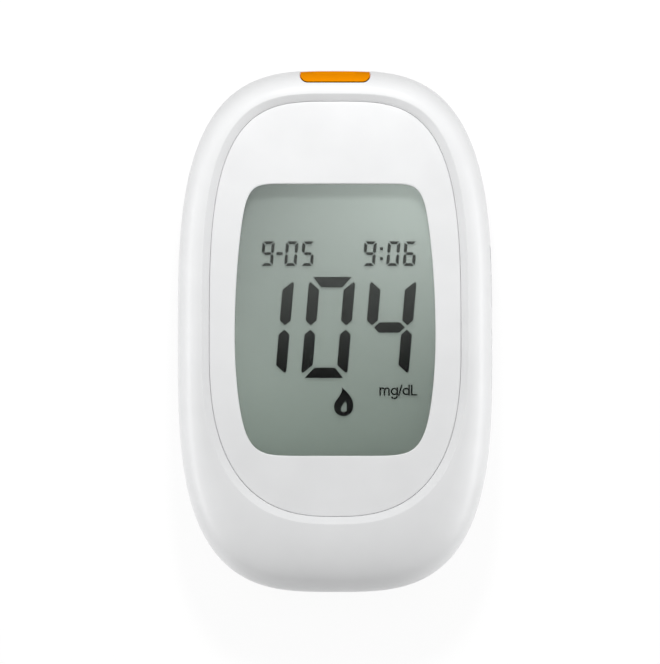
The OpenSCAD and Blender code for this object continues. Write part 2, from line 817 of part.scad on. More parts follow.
// One digit of seven segments, middle at the given place. on names the lit ones, from a at the top to g.
module digit(on, at, w, h, bar) {
    bar_h = bar * 0.95;
    mitre = 0.87;
    inner = w / 2 - bar * 1.18;
    outer = inner + bar_h * mitre;
    flat_bar = [[-outer, h / 2], [outer, h / 2], [inner, h / 2 - bar_h], [-inner, h / 2 - bar_h]];
    tall_bar = [[w / 2, h / 2 - bar * 0.62], [w / 2 - bar * 0.15, h / 2 - bar * 0.45],
        [w / 2 - bar, h / 2 - bar * 1.18], [w / 2 - bar, bar * 0.65], [w / 2 - bar / 2, bar * 0.19],
        [w / 2, bar * 0.65]];
    mid_bar = [[-inner - bar_h / 2, 0], [-inner, bar_h / 2], [inner, bar_h / 2], [inner + bar_h / 2, 0],
        [inner, -bar_h / 2], [-inner, -bar_h / 2]];
    if (has(on, "a")) polygon(placed(flat_bar, at, 1, 1));
    if (has(on, "b")) polygon(placed(tall_bar, at, 1, 1));
    if (has(on, "c")) polygon(placed(tall_bar, at, 1, -1));
    if (has(on, "d")) polygon(placed(flat_bar, at, 1, -1));
    if (has(on, "e")) polygon(placed(tall_bar, at, -1, -1));
    if (has(on, "f")) polygon(placed(tall_bar, at, -1, 1));
    if (has(on, "g")) polygon(placed(mid_bar, at, 1, 1));
}

// Lit segments of the figures 0 to 9
FIGURES = ["abcdef", "bc", "abdeg", "abcdg", "bcfg", "acdfg", "acdefg", "abc", "abcdefg", "abcdfg"];

// A line of strokes of width w through points
module strokes(points, w) {
    for (i = [0:len(points) - 2])
        let (a = points[i], b = points[i + 1], n = [a.y - b.y, b.x - a.x] / norm(b - a) * w / 2,
            e = (b - a) / norm(b - a) * w * 0.12)
        polygon([a + n - e, b + n + e, b - n + e, a - n - e]);
}

// Points of an arc about c from angle a0 to a1
function arc(c, r, a0, a1, steps) = [for (k = [0:steps])
    let (a = a0 + (a1 - a0) * k / steps) c + r * [cos(a), sin(a)]];

// The unit, milligrams per decilitre, with its baseline starting at the origin
module unit_sign() {
    h = letter_h;
    tall = h * 1.3;        // height of the d, the L and the stroke
    arch = h * 0.24;       // radius of the m's arches
    bowl = h * 0.36;       // radius of the round letters
    arch_x = 0.06;
    g_x = 2.05;
    stroke_x = 3.42;
    stroke_lean = 0.53;
    d_x = 4.2;
    l_x = 5.75;
    l_w = 1;
    strokes([[0, 0], [0, h]], letter_bar);
    for (x = [arch_x, 2 * (arch + arch_x) + arch_x])
        strokes(concat(arc([x + arch, h - arch - letter_bar / 2], arch, 180, 0, 8), [[x + 2 * arch, 0]]),
            letter_bar);
    for (x = [g_x, d_x]) strokes(arc([x + bowl, h / 2], bowl, 0, 360, 16), letter_bar);
    strokes(concat([[g_x + 2 * bowl, h]], arc([g_x + bowl, 0], bowl, 0, -150, 8)), letter_bar);
    strokes([[stroke_x, 0], [stroke_x + stroke_lean, tall]], letter_bar);
    strokes([[d_x + 2 * bowl, 0], [d_x + 2 * bowl, tall]], letter_bar);
    strokes([[l_x, tall], [l_x, letter_bar / 2], [l_x + l_w, letter_bar / 2]], letter_bar);
}

// Points of a curve from a to d that leaves towards b and arrives from c
function curve(a, b, c, d, steps) = [for (k = [0:steps - 1])
    let (u = k / steps, v = 1 - u) v * v * v * a + 3 * v * v * u * b + 3 * v * u * u * c + u * u * u * d];

// The drop sign with its highlight, of radius 1
module drop_sign() {
    difference() {
        polygon(concat(
            curve([-0.14, 2], [0.3, 1.5], [1.02, 1.05], [1.02, 0.1], 8),
            curve([1.02, 0.1], [1.02, -0.55], [0.6, -1], [0, -1], 6),
            curve([0, -1], [-0.6, -1], [-1, -0.6], [-1, 0], 6),
            curve([-1, 0], [-1, 0.8], [-0.2, 0.85], [-0.14, 2], 8)));
        polygon(concat(
            curve([0.22, 0.55], [0.34, 0.3], [0.36, 0.1], [0.32, -0.45], 5),
            curve([0.32, -0.45], [0.1, -0.58], [-0.1, -0.58], [-0.3, -0.42], 4),
            curve([-0.3, -0.42], [-0.3, 0.05], [0, 0.25], [0.22, 0.55], 5)));
    }
}

// A small line: one figure, then two after a dash or a colon
module small_line(first, second, third, x, y) {
    digit(FIGURES[first], [x, y], small_w, small_h, small_bar);
    digit(FIGURES[second], [x + small_break, y], small_w, small_h, small_bar);
    digit(FIGURES[third], [x + small_break + small_pitch, y], small_w, small_h, small_bar);
}

module lcd_segments() {
    spare = cell_room * 0.15;
    dot_y = small_h / 5;
    color(black) translate([0, 0, segment_z + spare]) linear_extrude(cell_room - 2 * spare) {
        digit(FIGURES[1], [readout_x - digit_pitch, readout_y], digit_w, digit_h, digit_bar);
        digit(FIGURES[0], [readout_x, readout_y], digit_w, digit_h, digit_bar);
        digit(FIGURES[4], [readout_x + digit_pitch, readout_y], digit_w, digit_h, digit_bar);
        small_line(9, 0, 5, date_x, small_y);
        small_line(9, 0, 6, time_x, small_y);
        translate([date_x + small_break / 2, small_y]) square([2 * small_bar, small_bar], center = true);
        for (y = [-dot_y, dot_y])
            translate([time_x + small_break / 2, small_y + y]) square(small_bar, center = true);
        translate([unit_x, unit_y]) unit_sign();
        translate([drop_x, drop_y]) scale(drop_r) drop_sign();
    }
}

module lcd_holder() {
    a = glass_a + gap;
    y0 = ledge_bottom - gap;
    y1 = glass_top + gap;
    hole_a = a - tray_ledge;
    zebra_y1 = ledge_bottom + zebra_w + 2 * gap;
    color([0.9, 0.9, 0.88]) difference() {
        block(-a - tray_wall, a + tray_wall, y0 - tray_wall, y1 + tray_wall, board_top, shelf_under - gap);
        block(-a, a, y0, y1, reflector_z - gap / 2, body_t);
        block(-hole_a, hole_a, glass_bottom + tray_ledge, y1 - tray_ledge, board_top - past, body_t);
        block(-hole_a, hole_a, ledge_bottom, zebra_y1, board_top - past, body_t);
    }
}

module zebra_strip() {
    zebra_a = glass_a - tray_ledge - 2 * gap;
    color([0.3, 0.3, 0.32])
        block(-zebra_a, zebra_a, ledge_bottom + gap, ledge_bottom + gap + zebra_w, board_top, front_glass_z);
}

// ---------------------------------------------------------------- board

// The board's outline, with its tongue under the strip socket
module board_shape() {
    flat_a = board_a - board_corner;
    flat_y0 = board_y0 + board_corner;
    flat_y1 = board_y1 - board_corner;
    translate([-flat_a, board_y0]) square([2 * flat_a, board_y1 - board_y0]);
    translate([-board_a, flat_y0]) square([2 * board_a, flat_y1 - flat_y0]);
    for (x = [-flat_a, flat_a], y = [flat_y0, flat_y1]) translate([x, y]) circle(r = board_corner);
    translate([-tongue_w / 2, board_y1 - past]) square([tongue_w, tongue_y - board_y1 + past]);
}

module main_board() {
    color([0.1, 0.4, 0.25]) difference() {
        translate([0, 0, board_z]) linear_extrude(board_t) board_shape();
        each_screw() rod(0, 0, board_z - past, board_top + past, board_hole);
        block(-post_w / 2 - post_gap, post_w / 2 + post_gap, post_y - post_gap,
            post_y + post_t + eject_travel + post_gap, board_z - past, board_top + past);
        for (x = [-1, 1] * cell_x) tail_way(x, board_z - past, board_top + past);
    }
}

// A chip under the board, with legs along its two sides
module chip(x, y, w, l, h, legs) {
    leg_w = 0.3;
    leg_l = 0.8;
    translate([x, y, board_z]) {
        block(-w / 2, w / 2, -l / 2, l / 2, -h - gap, -gap);
        for (k = [0:legs - 1], s = [-1, 1] * (w / 2 + leg_l / 2))
            let (leg_y = l * ((k + 0.5) / legs - 0.5))
            block(s - leg_l / 2 - gap, s + leg_l / 2, leg_y - leg_w / 2, leg_y + leg_w / 2, -leg_w, 0);
    }
}

module microcontroller() {
    color(black) chip(x = -board_a / 2, y = board_y1 - 10, w = 9, l = 9, h = 1.4, legs = 12);
}

module measuring_chip() {
    color(black) chip(x = board_a / 2 - 1, y = board_y1 - 8, w = 5, l = 6, h = 1.2, legs = 7);
}

module crystal() {
    can_d = 2;
    can_l = 6;
    color(steel) translate([board_a - 5, board_y1 - 14, board_z - can_d / 2 - gap]) rotate([90, 0, 0])
        cylinder(d = can_d, h = can_l);
}

// Small resistors and capacitors under the board, in rows below the measuring chip
module chip_passives() {
    first_x = board_a / 4;
    first_y = board_y1 - 14.5;
    pitch_x = 2.4;
    pitch_y = 1.7;
    l = 0.8;
    h = 0.6;
    color([0.6, 0.5, 0.35]) for (row = [0:2], k = [0:3])
        let (x = first_x + pitch_x * k, y = first_y - pitch_y * row, w = k % 2 == 0 ? 2 * l : 1.5 * l)
        block(x - w / 2, x + w / 2, y - l / 2, y + l / 2, board_z - h, board_z);
}

module buzzer() {
    x = -board_a + buzzer_d / 2 + 0.3;
    hole_d = 1.6;
    hole_h = 0.8;
    color(black) difference() {
        rod(x, memory_y, board_z - buzzer_h, board_z, buzzer_d);
        rod(x, memory_y, board_z - buzzer_h - past, board_z - buzzer_h + hole_h, hole_d);
    }
}

// The strip's way through the socket, with the cut that the ejector's post runs in
module strip_connector() {
    slot_a = slot_w / 2 + gap;
    post_a = post_w / 2 + end_gap;
    contact_top = slot_z + slot_h;
    color([0.92, 0.9, 0.85]) difference() {
        block(-socket_w / 2, socket_w / 2, socket_y0, socket_y1, board_top, board_top + socket_h);
        block(-slot_a, slot_a, channel_y0, socket_y1 + past, slot_z, contact_top);
        block(-post_a, post_a, channel_y0, post_y + post_t + eject_travel + end_gap, board_top - past,
            slot_z + past);
        each_contact() block(-contact_w / 2 - contact_gap, contact_w / 2 + contact_gap, socket_y0 - past,
            socket_y0 + contact_l + 2 * contact_gap, contact_top - past, contact_top + 2 * contact_gap);
    }
}

// The four contacts, as places
module each_contact() {
    for (x = [-1, 1] * contact_x, e = [-1, 1] * contact_pitch / 2) translate([x + e, 0, 0]) children();
}

// Spring contacts that dip into the slot, with their feet on the board behind the socket
module strip_contacts() {
    t = contact_t;
    z = slot_z + slot_h;
    dip = 0.4;
    foot_l = 0.6;
    foot_y = -t / 2 - gap / 2;
    profile = [[board_top, foot_y - foot_l], [board_top + t, foot_y - foot_l], [board_top + t, foot_y - t],
        [z + dip, foot_y - t], [z + t + dip / 4, contact_l / 2], [z + t - dip, contact_l - 1],
        [z + t, contact_l], [z, contact_l], [z - dip, contact_l - 1], [z + dip / 4, contact_l / 2],
        [z + dip - t, foot_y], [board_top, foot_y]];
    color([0.85, 0.7, 0.35]) each_contact() translate([contact_w / 2, socket_y0, 0]) rotate([0, -90, 0])
        linear_extrude(contact_w) polygon(profile);
}

// A side-acting switch under the board's right edge, with the pocket of its plunger
module side_switch(y) {
    face_x = board_a + switch_out;
    pocket_a = plunger_w / 2 + plunger_gap;
    pocket_h = plunger_h / 2 + plunger_gap;
    color(black) difference() {
        block(face_x - switch_w, face_x, y - switch_l / 2, y + switch_l / 2, board_z - switch_h, board_z);
        block(plunger_pocket, face_x + past, y - pocket_a, y + pocket_a, key_z - pocket_h, key_z + pocket_h);
    }
}

module memory_switch() side_switch(memory_y);

module set_switch() side_switch(set_y);

// ---------------------------------------------------------------- battery bay

module housing_screws() {
    cross_a = head_d * 0.29;
    cross_w = 0.44;
    cross_h = 0.8;
    color(steel) each_screw() translate([0, 0, recess_h]) difference() {
        union() {
            cylinder(d = head_d, h = head_h);
            cylinder(d = screw_d, h = head_h + screw_l);
        }
        for (a = [0, 90]) rotate(a) block(-cross_a, cross_a, -cross_w / 2, cross_w / 2, -past, cross_h);
    }
}

// A contact sheet on the upper end wall, with its tail through the board
module upper_sheet(x) {
    y = bay_y1 - gap;
    block(x - sheet_a, x + sheet_a, y - sheet_t, y, cover_seat + sheet_lift, bay_top - gap);
    block(x - tail_a, x + tail_a, y - sheet_t, y, bay_top - past, board_top + sheet_t);
}

// A cone spring that presses a cell's flat end
module cell_spring() {
    coil(d0 = cell_d * 0.66, d1 = cell_d * 0.4, l = cell_spring_l, wire = cell_wire, turns = 3.5);
}

module battery_plus_contact() {
    color(steel) upper_sheet(-cell_x);
}

module battery_minus_contact() {
    color(steel) {
        upper_sheet(cell_x);
        translate([cell_x, bay_y1 - sheet_t - gap / 2, cell_z]) rotate([90, 0, 0]) cell_spring();
    }
}

module battery_bridge_contact() {
    color(steel) {
        block(-cell_x - sheet_a, cell_x + sheet_a, bay_y0 + gap, bay_y0 + gap + sheet_t,
            cover_seat + hook_h + hook_swing + gap, bay_top - gap);
        translate([-cell_x, bay_y0 + gap / 2 + sheet_t, cell_z]) rotate([-90, 0, 0]) cell_spring();
    }
}

// A cell whose nub points along +Y, with its nub's tip at the origin
module cell() {
    rotate([90, 0, 0]) {
        cylinder(d = nub_d, h = nub_l + past);
        translate([0, 0, nub_l]) cylinder(d = cell_d, h = cell_l - nub_l);
    }
}

module battery_left() {
    color([0.25, 0.3, 0.35]) translate([-cell_x, bay_y1 - sheet_t - 2 * gap, cell_z]) cell();
}

module battery_right() {
    color([0.25, 0.3, 0.35]) translate([cell_x, bay_y0 + sheet_t + 2 * gap, cell_z]) mirror([0, 1, 0]) cell();
}

// The cover, its grip grooves, its hooks, its latch tongue and two ribs
module battery_cover() {
    grip_n = 4;
    grip_a = 4;
    grip_w = 0.7;
    grip_pitch = 1.5;
    grip_y = cover_y1 - 3;
    hook_z = cover_seat + hook_h;
    rib_x = bay_a - 0.9;
    rib_t = 0.8;
    rib_end = cell_spring_l;
    color(white) {
        difference() {
            block(-cover_a, cover_a, cover_y0, cover_y1, cover_sunk, cover_z);
            for (k = [0:grip_n - 1]) translate([0, grip_y - grip_pitch * k, cover_sunk])
                block(-grip_a, grip_a, 0, grip_w, -past, cover_t / 4);
        }
        for (x = [-1, 1] * hook_pitch / 2) translate([x, cover_y0, 0]) {
            block(-hook_w / 2, hook_w / 2, 0, hook_reach, cover_z - past, hook_z);
            block(-hook_w / 2, hook_w / 2, -hook_reach, past, cover_seat + hook_side, hook_z);
        }
        block(-latch_w / 2, latch_w / 2, bay_y1, bay_y1 + latch_t, cover_z - past, cover_z + latch_h);
        for (x = [-rib_x, rib_x])
            block(x - rib_t / 2, x + rib_t / 2, bay_y0 + rib_end, bay_y1 - rib_end, cover_z - past,
                cover_z + rib_t);
    }
}

// ---------------------------------------------------------------- ejector

// The thumb piece in its pocket, with grip grooves, and its neck
module ejector_slider() {
    grip_a = thumb_w / 2 - 1;
    grip_w = 0.6;
    grip_pitch = 1.4;
    thumb_z = cover_sunk + gap;
    color(orange) {
        difference() {
            block(-thumb_w / 2, thumb_w / 2, thumb_y0, thumb_y1, thumb_z, pocket_depth - gap);
            for (k = [-2:2]) translate([0, neck_y + grip_pitch * k, 0])
                block(-grip_a, grip_a, -grip_w / 2, grip_w / 2, 0, thumb_z + grip_w / 2);
        }
        block(-neck_w / 2, neck_w / 2, neck_y - neck_l / 2, neck_y + neck_l / 2, pocket_depth - past,
            carriage_z);
    }
}

// The carriage inside, with the post that meets the strip and the post's rib
module ejector_pusher() {
    rib_l = 3;
    color([0.85, 0.85, 0.82]) {
        block(-carriage_w / 2, carriage_w / 2, thumb_y0 + 1, post_y + post_t, carriage_z,
            carriage_z + carriage_t);
        block(-post_w / 2, post_w / 2, post_y, post_y + post_t, carriage_z, slot_z + slot_h - 2 * gap);
        block(-post_w / 2, post_w / 2, post_y - rib_l, post_y, carriage_z, spring_z);
        translate([0, post_y + post_t - past, spring_z]) rotate([-90, 0, 0])
            cylinder(d = pin_d, h = pin_l + past);
    }
}

module ejector_spring() {
    y0 = post_y + post_t + gap / 2;
    spring_l = spring_stop - y0 - gap / 2;
    color(steel) translate([0, y0, spring_z]) rotate([-90, 0, 0])
        coil(d0 = return_d, d1 = return_d, l = spring_l, wire = return_wire, turns = 4);
}

// ---------------------------------------------------------------- keys

// A key's head, the flange that keeps it in, and the stub that meets its switch's plunger
module side_key(y) {
    flange_a = key_l / 2 + key_flange;
    flange_h = (key_h + key_flange) / 2;
    stub_a = plunger_w / 2 + 0.6;
    stub_h = plunger_h / 2 + 0.4;
    color([0.86, 0.87, 0.88]) {
        key_shape(y, key_back, key_face, 0);
        block(key_back, key_back + key_flange_t, y - flange_a, y + flange_a, key_z - flange_h,
            key_z + flange_h);
        block(plunger_end + gap / 2, key_back, y - stub_a, y + stub_a, key_z - stub_h, key_z + stub_h);
    }
}

module side_plunger(y) {
    color([0.34, 0.2, 0.1]) block(plunger_pocket + key_travel + 2 * gap, plunger_end,
        y - plunger_w / 2, y + plunger_w / 2, key_z - plunger_h / 2, key_z + plunger_h / 2);
}

module memory_key() side_key(memory_y);

module memory_plunger() side_plunger(memory_y);

module set_key() side_key(set_y);

module set_plunger() side_plunger(set_y);

// ---------------------------------------------------------------- nodes

rear_housing();
front_housing();
face_plate();
plate_adhesive();
display_window();
window_gasket();
strip_port();
lcd_polarizer();
lcd_front_glass();
lcd_segments();
lcd_rear_glass();
lcd_reflector();
lcd_holder();
zebra_strip();
main_board();
microcontroller();
measuring_chip();
crystal();
chip_passives();
buzzer();
strip_connector();
strip_contacts();
memory_switch();
set_switch();
housing_screws();
battery_plus_contact();
battery_minus_contact();
battery_bridge_contact();
battery_left();
battery_right();
battery_cover();
ejector_slider();
ejector_pusher();
ejector_spring();
memory_key();
memory_plunger();
set_key();
set_plunger();
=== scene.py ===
"""Looks of a blood glucose meter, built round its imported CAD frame.

The frame is in metres. Pieces are drawn in millimetres, and finished() brings each one to metres.
"""

import math
from functools import partialmethod

import bmesh
import bpy
from mathutils import Matrix, Vector


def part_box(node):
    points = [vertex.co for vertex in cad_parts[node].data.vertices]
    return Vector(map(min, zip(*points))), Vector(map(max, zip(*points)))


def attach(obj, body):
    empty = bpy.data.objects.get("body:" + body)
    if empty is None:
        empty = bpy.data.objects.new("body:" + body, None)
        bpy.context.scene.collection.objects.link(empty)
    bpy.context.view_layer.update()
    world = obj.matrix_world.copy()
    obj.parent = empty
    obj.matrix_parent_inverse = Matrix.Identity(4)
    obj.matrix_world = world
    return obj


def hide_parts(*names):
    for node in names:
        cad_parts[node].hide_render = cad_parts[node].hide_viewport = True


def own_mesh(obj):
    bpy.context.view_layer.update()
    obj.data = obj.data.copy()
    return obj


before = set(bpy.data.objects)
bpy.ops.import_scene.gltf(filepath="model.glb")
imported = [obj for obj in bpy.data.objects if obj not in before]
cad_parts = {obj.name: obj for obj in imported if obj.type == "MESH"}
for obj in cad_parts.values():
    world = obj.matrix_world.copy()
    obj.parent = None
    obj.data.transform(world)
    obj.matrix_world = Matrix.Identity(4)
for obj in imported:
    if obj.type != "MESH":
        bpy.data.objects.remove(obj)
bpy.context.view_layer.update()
scene = bpy.context.scene
mm = 0.001


# ---- camera
# A camera straight above the face and square to it, which sees the meter without perspective. The
# picture is 660 by 664, and its longer side covers view_l.

view_l = 120.97 * mm
view_x = -0.93 * mm
view_y = -0.14 * mm
view_z = 400 * mm


def added(name, data):
    """A new object of the scene."""
    made = bpy.data.objects.new(name, data)
    scene.collection.objects.link(made)
    return made


camera = added("camera", bpy.data.cameras.new("camera"))
camera.data.type = "ORTHO"
camera.data.ortho_scale = view_l
camera.location = (view_x, view_y, view_z)
scene.camera = camera


# ---- table and lamps
# A white table that keeps a faint shadow, in an even white room. A small lamp stands beyond the meter's
# top end, and two low, wide lamps fill its sides. The table looks white, and lights the sides less.

table_a = 1.5
table_paper = (0.5, 0.5, 0.5, 1)
table_shade = (0.14, 0.14, 0.14, 1)
table_glow = 0.89
room_light = 0.535
meter_middle = Vector((0, 0, 0.011))
lamps = {
    "key": ((0.0, 0.13, 0.2), 0.035, 0.035, 0.257),
    "left_fill": ((-0.2, -0.04, 0.011), 0.2, 0.02, 0.155),
    "right_fill": ((0.2, -0.04, 0.011), 0.2, 0.02, 0.17),
}


class Term:
    """A number or a field in a node tree, so that a rule in nodes reads as arithmetic."""

    def __init__(self, tree, value):
        self.tree = tree
        self.value = value

    def math(self, operation, *others):
        inputs = dict(enumerate((self, *others)))
        return Term(self.tree, node(self.tree, "ShaderNodeMath", inputs, operation=operation).outputs[0])

    def __rsub__(self, other):
        return Term(self.tree, float(other)) - self

    __add__ = partialmethod(math, "ADD")
    __sub__ = partialmethod(math, "SUBTRACT")
    __mul__ = partialmethod(math, "MULTIPLY")
    __truediv__ = partialmethod(math, "DIVIDE")
    __pow__ = partialmethod(math, "POWER")


def node(tree, kind, inputs=None, **settings):
    """A node with its settings. An input is given a value, a socket, a Term, a node, or a list of nodes."""
    made = tree.nodes.new(kind)
    for name, value in settings.items():
        setattr(made, name, value)
    for name, given in (inputs or {}).items():
        for value in given if isinstance(given, list) else [given]:
            value = value.value if isinstance(value, Term) else value
            value = value.outputs[0] if isinstance(value, bpy.types.Node) else value
            if isinstance(value, bpy.types.NodeSocket):
                tree.links.new(value, made.inputs[name])
            else:
                made.inputs[name].default_value = value
    return made


def seen_directly(tree):
    """1 on rays from the camera and on mirrored or refracted ones, else 0."""
    path = node(tree, "ShaderNodeLightPath").outputs
    camera_ray = Term(tree, path["Is Camera Ray"])
    return camera_ray.math("MAXIMUM", path["Is Glossy Ray"]).math("MAXIMUM", path["Is Transmission Ray"])


def new_material(name):
    """An empty material and its tree."""
    material = bpy.data.materials.new(name)
    material.use_nodes = True
    material.node_tree.nodes.clear()
    return material, material.node_tree


def surfaced(material, inputs, kind="ShaderNodeBsdfPrincipled"):
    """The material, with its last shader on the surface."""
    tree = material.node_tree
    node(tree, "ShaderNodeOutputMaterial", {"Surface": node(tree, kind, inputs)})
    return material


def table_material():
    material, tree = new_material("table_white")
    paper = node(tree, "ShaderNodeBsdfDiffuse", {"Color": table_paper})
    shade = node(tree, "ShaderNodeBsdfDiffuse", {"Color": table_shade})
    glow = node(tree, "ShaderNodeEmission", {"Strength": table_glow})
    bright = node(tree, "ShaderNodeAddShader", {0: shade, 1: glow})
    return surfaced(material, {0: seen_directly(tree), 1: paper, 2: bright}, "ShaderNodeMixShader")


table_mesh = bpy.data.meshes.new("table")
table_corners = [(x * table_a, y * table_a, 0) for x, y in ((-1, -1), (1, -1), (1, 1), (-1, 1))]
table_mesh.from_pydata(table_corners, [], [(0, 1, 2, 3)])
table_mesh.materials.append(table_material())
table = added("table", table_mesh)

scene.world = bpy.data.worlds.new("room")
scene.world.use_nodes = True
room = scene.world.node_tree
room_dim = node(room, "ShaderNodeBackground", {"Color": (1, 1, 1, 1), "Strength": room_light})
room_white = node(room, "ShaderNodeBackground", {"Color": (1, 1, 1, 1), "Strength": 1.0})
room_mix = node(room, "ShaderNodeMixShader", {0: seen_directly(room), 1: room_dim, 2: room_white})
room.links.new(room_mix.outputs[0], room.nodes["World Output"].inputs["Surface"])

for name, (place, width, height, power) in lamps.items():
    lamp = added(name, bpy.data.lights.new(name, "AREA"))
    lamp.data.shape = "RECTANGLE"
    lamp.data.size = width
    lamp.data.size_y = height
    lamp.data.energy = power
    lamp.location = place
    lamp.rotation_euler = (meter_middle - lamp.location).to_track_quat("-Z", "Y").to_euler()
    lamp.visible_camera = False

scene.view_settings.view_transform = "Standard"

# Light has many clear faces to pass, of the window pane and of the display's polarizer and glasses.
scene.cycles.transparent_max_bounces = 24


# ---- front shell
# The upper half of the case, moulded in satin white ABS. Its rim rounds over from the side wall and
# falls by a bevel to the recess of the face plate, and four bosses inside take the case's screws.


def corners(name):
    """A CAD node's lowest and highest corner, in millimetres."""
    low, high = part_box(name)
    return low / mm, high / mm


OUTLINE = ["half_width", "top", "bottom", "widest_row", "upper_squareness", "lower_squareness",
           "upper_bow", "lower_bow"]


def outline(*sizes):
    """The sizes of a rounded outline, in the order of OUTLINE."""
    return dict(zip(OUTLINE, map(float, sizes)))


def grown(shape, by):
    """An outline moved outwards."""
    moved = dict(shape, half_width=shape["half_width"] + by)
    moved.update(top=shape["top"] + by, bottom=shape["bottom"] - by)
    return moved


front_low, front_high = corners("front_housing")
rear_low, rear_high = corners("rear_housing")
plate_low, plate_high = corners("face_plate")
pane_low, pane_high = corners("display_window")
screws_low, screws_high = corners("housing_screws")
pane_flange = 1.2
# The window's sides draw in above and below its widest row, as arcs of these radii do.
bow_above = 1 / (2 * 166)
bow_below = 1 / (2 * 95)
BODY = outline(rear_high.x, rear_high.y, rear_low.y, -1.85, 3.2, 3.2, 0, 0)
PLATE = outline(plate_high.x, plate_high.y, plate_low.y, -2.9, 3.5, 2.6, 0, 0)
PANE = outline(pane_high.x, pane_high.y, pane_low.y, -0.92, 12.5, 8, bow_above, bow_below)
WINDOW = grown(PANE, -pane_flange)

# Names end in _a or _b for half a side, in _r for a radius, and in _w, _l, _h or _t for a width, length,
# height or thickness. Mouldings fit with a gap. A solid that is joined on or cut away has an overlap.
parting_z = front_low.z
top_z = front_high.z
wall = 1.8
draft = 0.15
side_z = top_z - 9
case_squareness = 2.5
bevel_hollow = 1.03
gap = 0.1
overlap = 0.5
least_corner = 0.02
same_point = 1e-4
same_seam = 0.004
seam = 0.15
seam_gap = 0.055
bevel_w = 1.36
rim_edge = 0.08
rim_edge_h = 0.3 * rim_edge
plate_z = top_z - 1.2
foot_w = 0.12
foot_h = 0.1
foot_sink = 0.05
shelf_z = 19.25
shelf_under = 18.05
shelf_hole = 1.5
recess_wall = 1.5
lip_h = 1
lip_t = 0.8
board_top = 14.7
screw_head_r = 1.9
screw_x = screws_high.x - screw_head_r
screw_y0 = screws_low.y + screw_head_r
screw_y1 = screws_high.y - screw_head_r
screw_places = [(x, y) for x in (-screw_x, screw_x) for y in (screw_y0, screw_y1)]
boss_r = 2.1
thread_hole_r = 1.03
thread_end = 17.6
port_a = 6.5
port_y = rear_high.y - 2.2
port_corner = 1.5
port_reach = 6
port_inner = 44.1
throat_z = 17.45
key_a = 5.5
key_b = 2.1
key_z = 12.15
key_gap = 0.12
key_rows = {"memory": 10.0, "set": -5.0}
key_flare_x = 28.38

SOCKETS = {int: "NodeSocketInt", float: "NodeSocketFloat", tuple: "NodeSocketVector"}


def new_tree(name, **usual):
    """A geometry tree, and its inputs named for their keywords, with their usual values."""
    tree = bpy.data.node_groups.new(name, "GeometryNodeTree")
    tree.interface.new_socket("Geometry", in_out="OUTPUT", socket_type="NodeSocketGeometry")
    tree.interface.new_socket("Geometry", in_out="INPUT", socket_type="NodeSocketGeometry")
    for key, value in usual.items():
        socket = tree.interface.new_socket(key, in_out="INPUT", socket_type=SOCKETS[type(value)])
        socket.default_value = value
    tree.interface.new_socket("Material", in_out="INPUT", socket_type="NodeSocketMaterial")
    given = tree.nodes.new("NodeGroupInput").outputs
    return tree, {key: Term(tree, given[key]) for key in usual}


def end_tree(tree, geometry):
    """Closes a geometry tree: real geometry, in the given material."""
    whole = node(tree, "GeometryNodeRealizeInstances", {"Geometry": geometry})
    given = tree.nodes.new("NodeGroupInput").outputs["Material"]
    node(tree, "NodeGroupOutput",
         {0: node(tree, "GeometryNodeSetMaterial", {"Geometry": whole, "Material": given})})
    return tree


def vector(tree, **parts):
    """A vector from its parts X, Y and Z."""
    return node(tree, "ShaderNodeCombineXYZ", parts)


def parts_of(tree, whole):
    """A vector's parts X, Y and Z."""
    return [Term(tree, part) for part in node(tree, "ShaderNodeSeparateXYZ", {0: whole}).outputs]


def position(tree):
    """Where a point of the geometry is: its parts X, Y and Z."""
    return parts_of(tree, node(tree, "GeometryNodeInputPosition"))


def set_position(tree, geometry, **parts):
    return node(tree, "GeometryNodeSetPosition", {"Geometry": geometry, "Position": vector(tree, **parts)})


def evaluated(piece):
    """A piece's mesh, as its modifiers leave it."""
    return bpy.data.meshes.new_from_object(piece.evaluated_get(bpy.context.evaluated_depsgraph_get()))


def made_by(tree, start=None, **sizes):
    """The plain mesh that a geometry tree makes from the given sizes, and from a mesh to start with."""
    piece = added(tree.name, start or bpy.data.meshes.new(tree.name))
    modifier = piece.modifiers.new(tree.name, "NODES")
    modifier.node_group = tree
    for socket in tree.interface.items_tree:
        if socket.in_out == "INPUT" and socket.name in sizes:
            modifier[socket.identifier] = sizes[socket.name]
    mesh = evaluated(piece)
    bpy.data.objects.remove(piece)
    return mesh


def outline_point(across, along, size):
    """Where the direction (across, along) meets an outline."""
    upper = along.math("GREATER_THAN", -1e-6)
    lower = 1 - upper
    power = size["upper_squareness"] * upper + size["lower_squareness"] * lower
    row = size["widest_row"]
    height = (size["top"] - row) * upper + (row - size["bottom"]) * lower
    bow = size["upper_bow"] * upper + size["lower_bow"] * lower
    total = across.math("ABSOLUTE") ** power + along.math("ABSOLUTE") ** power
    reach = total ** (Term(power.tree, -1.0) / power)
    rise = height * along * reach
    return across * reach * (size["half_width"] - bow * rise * rise), row + rise


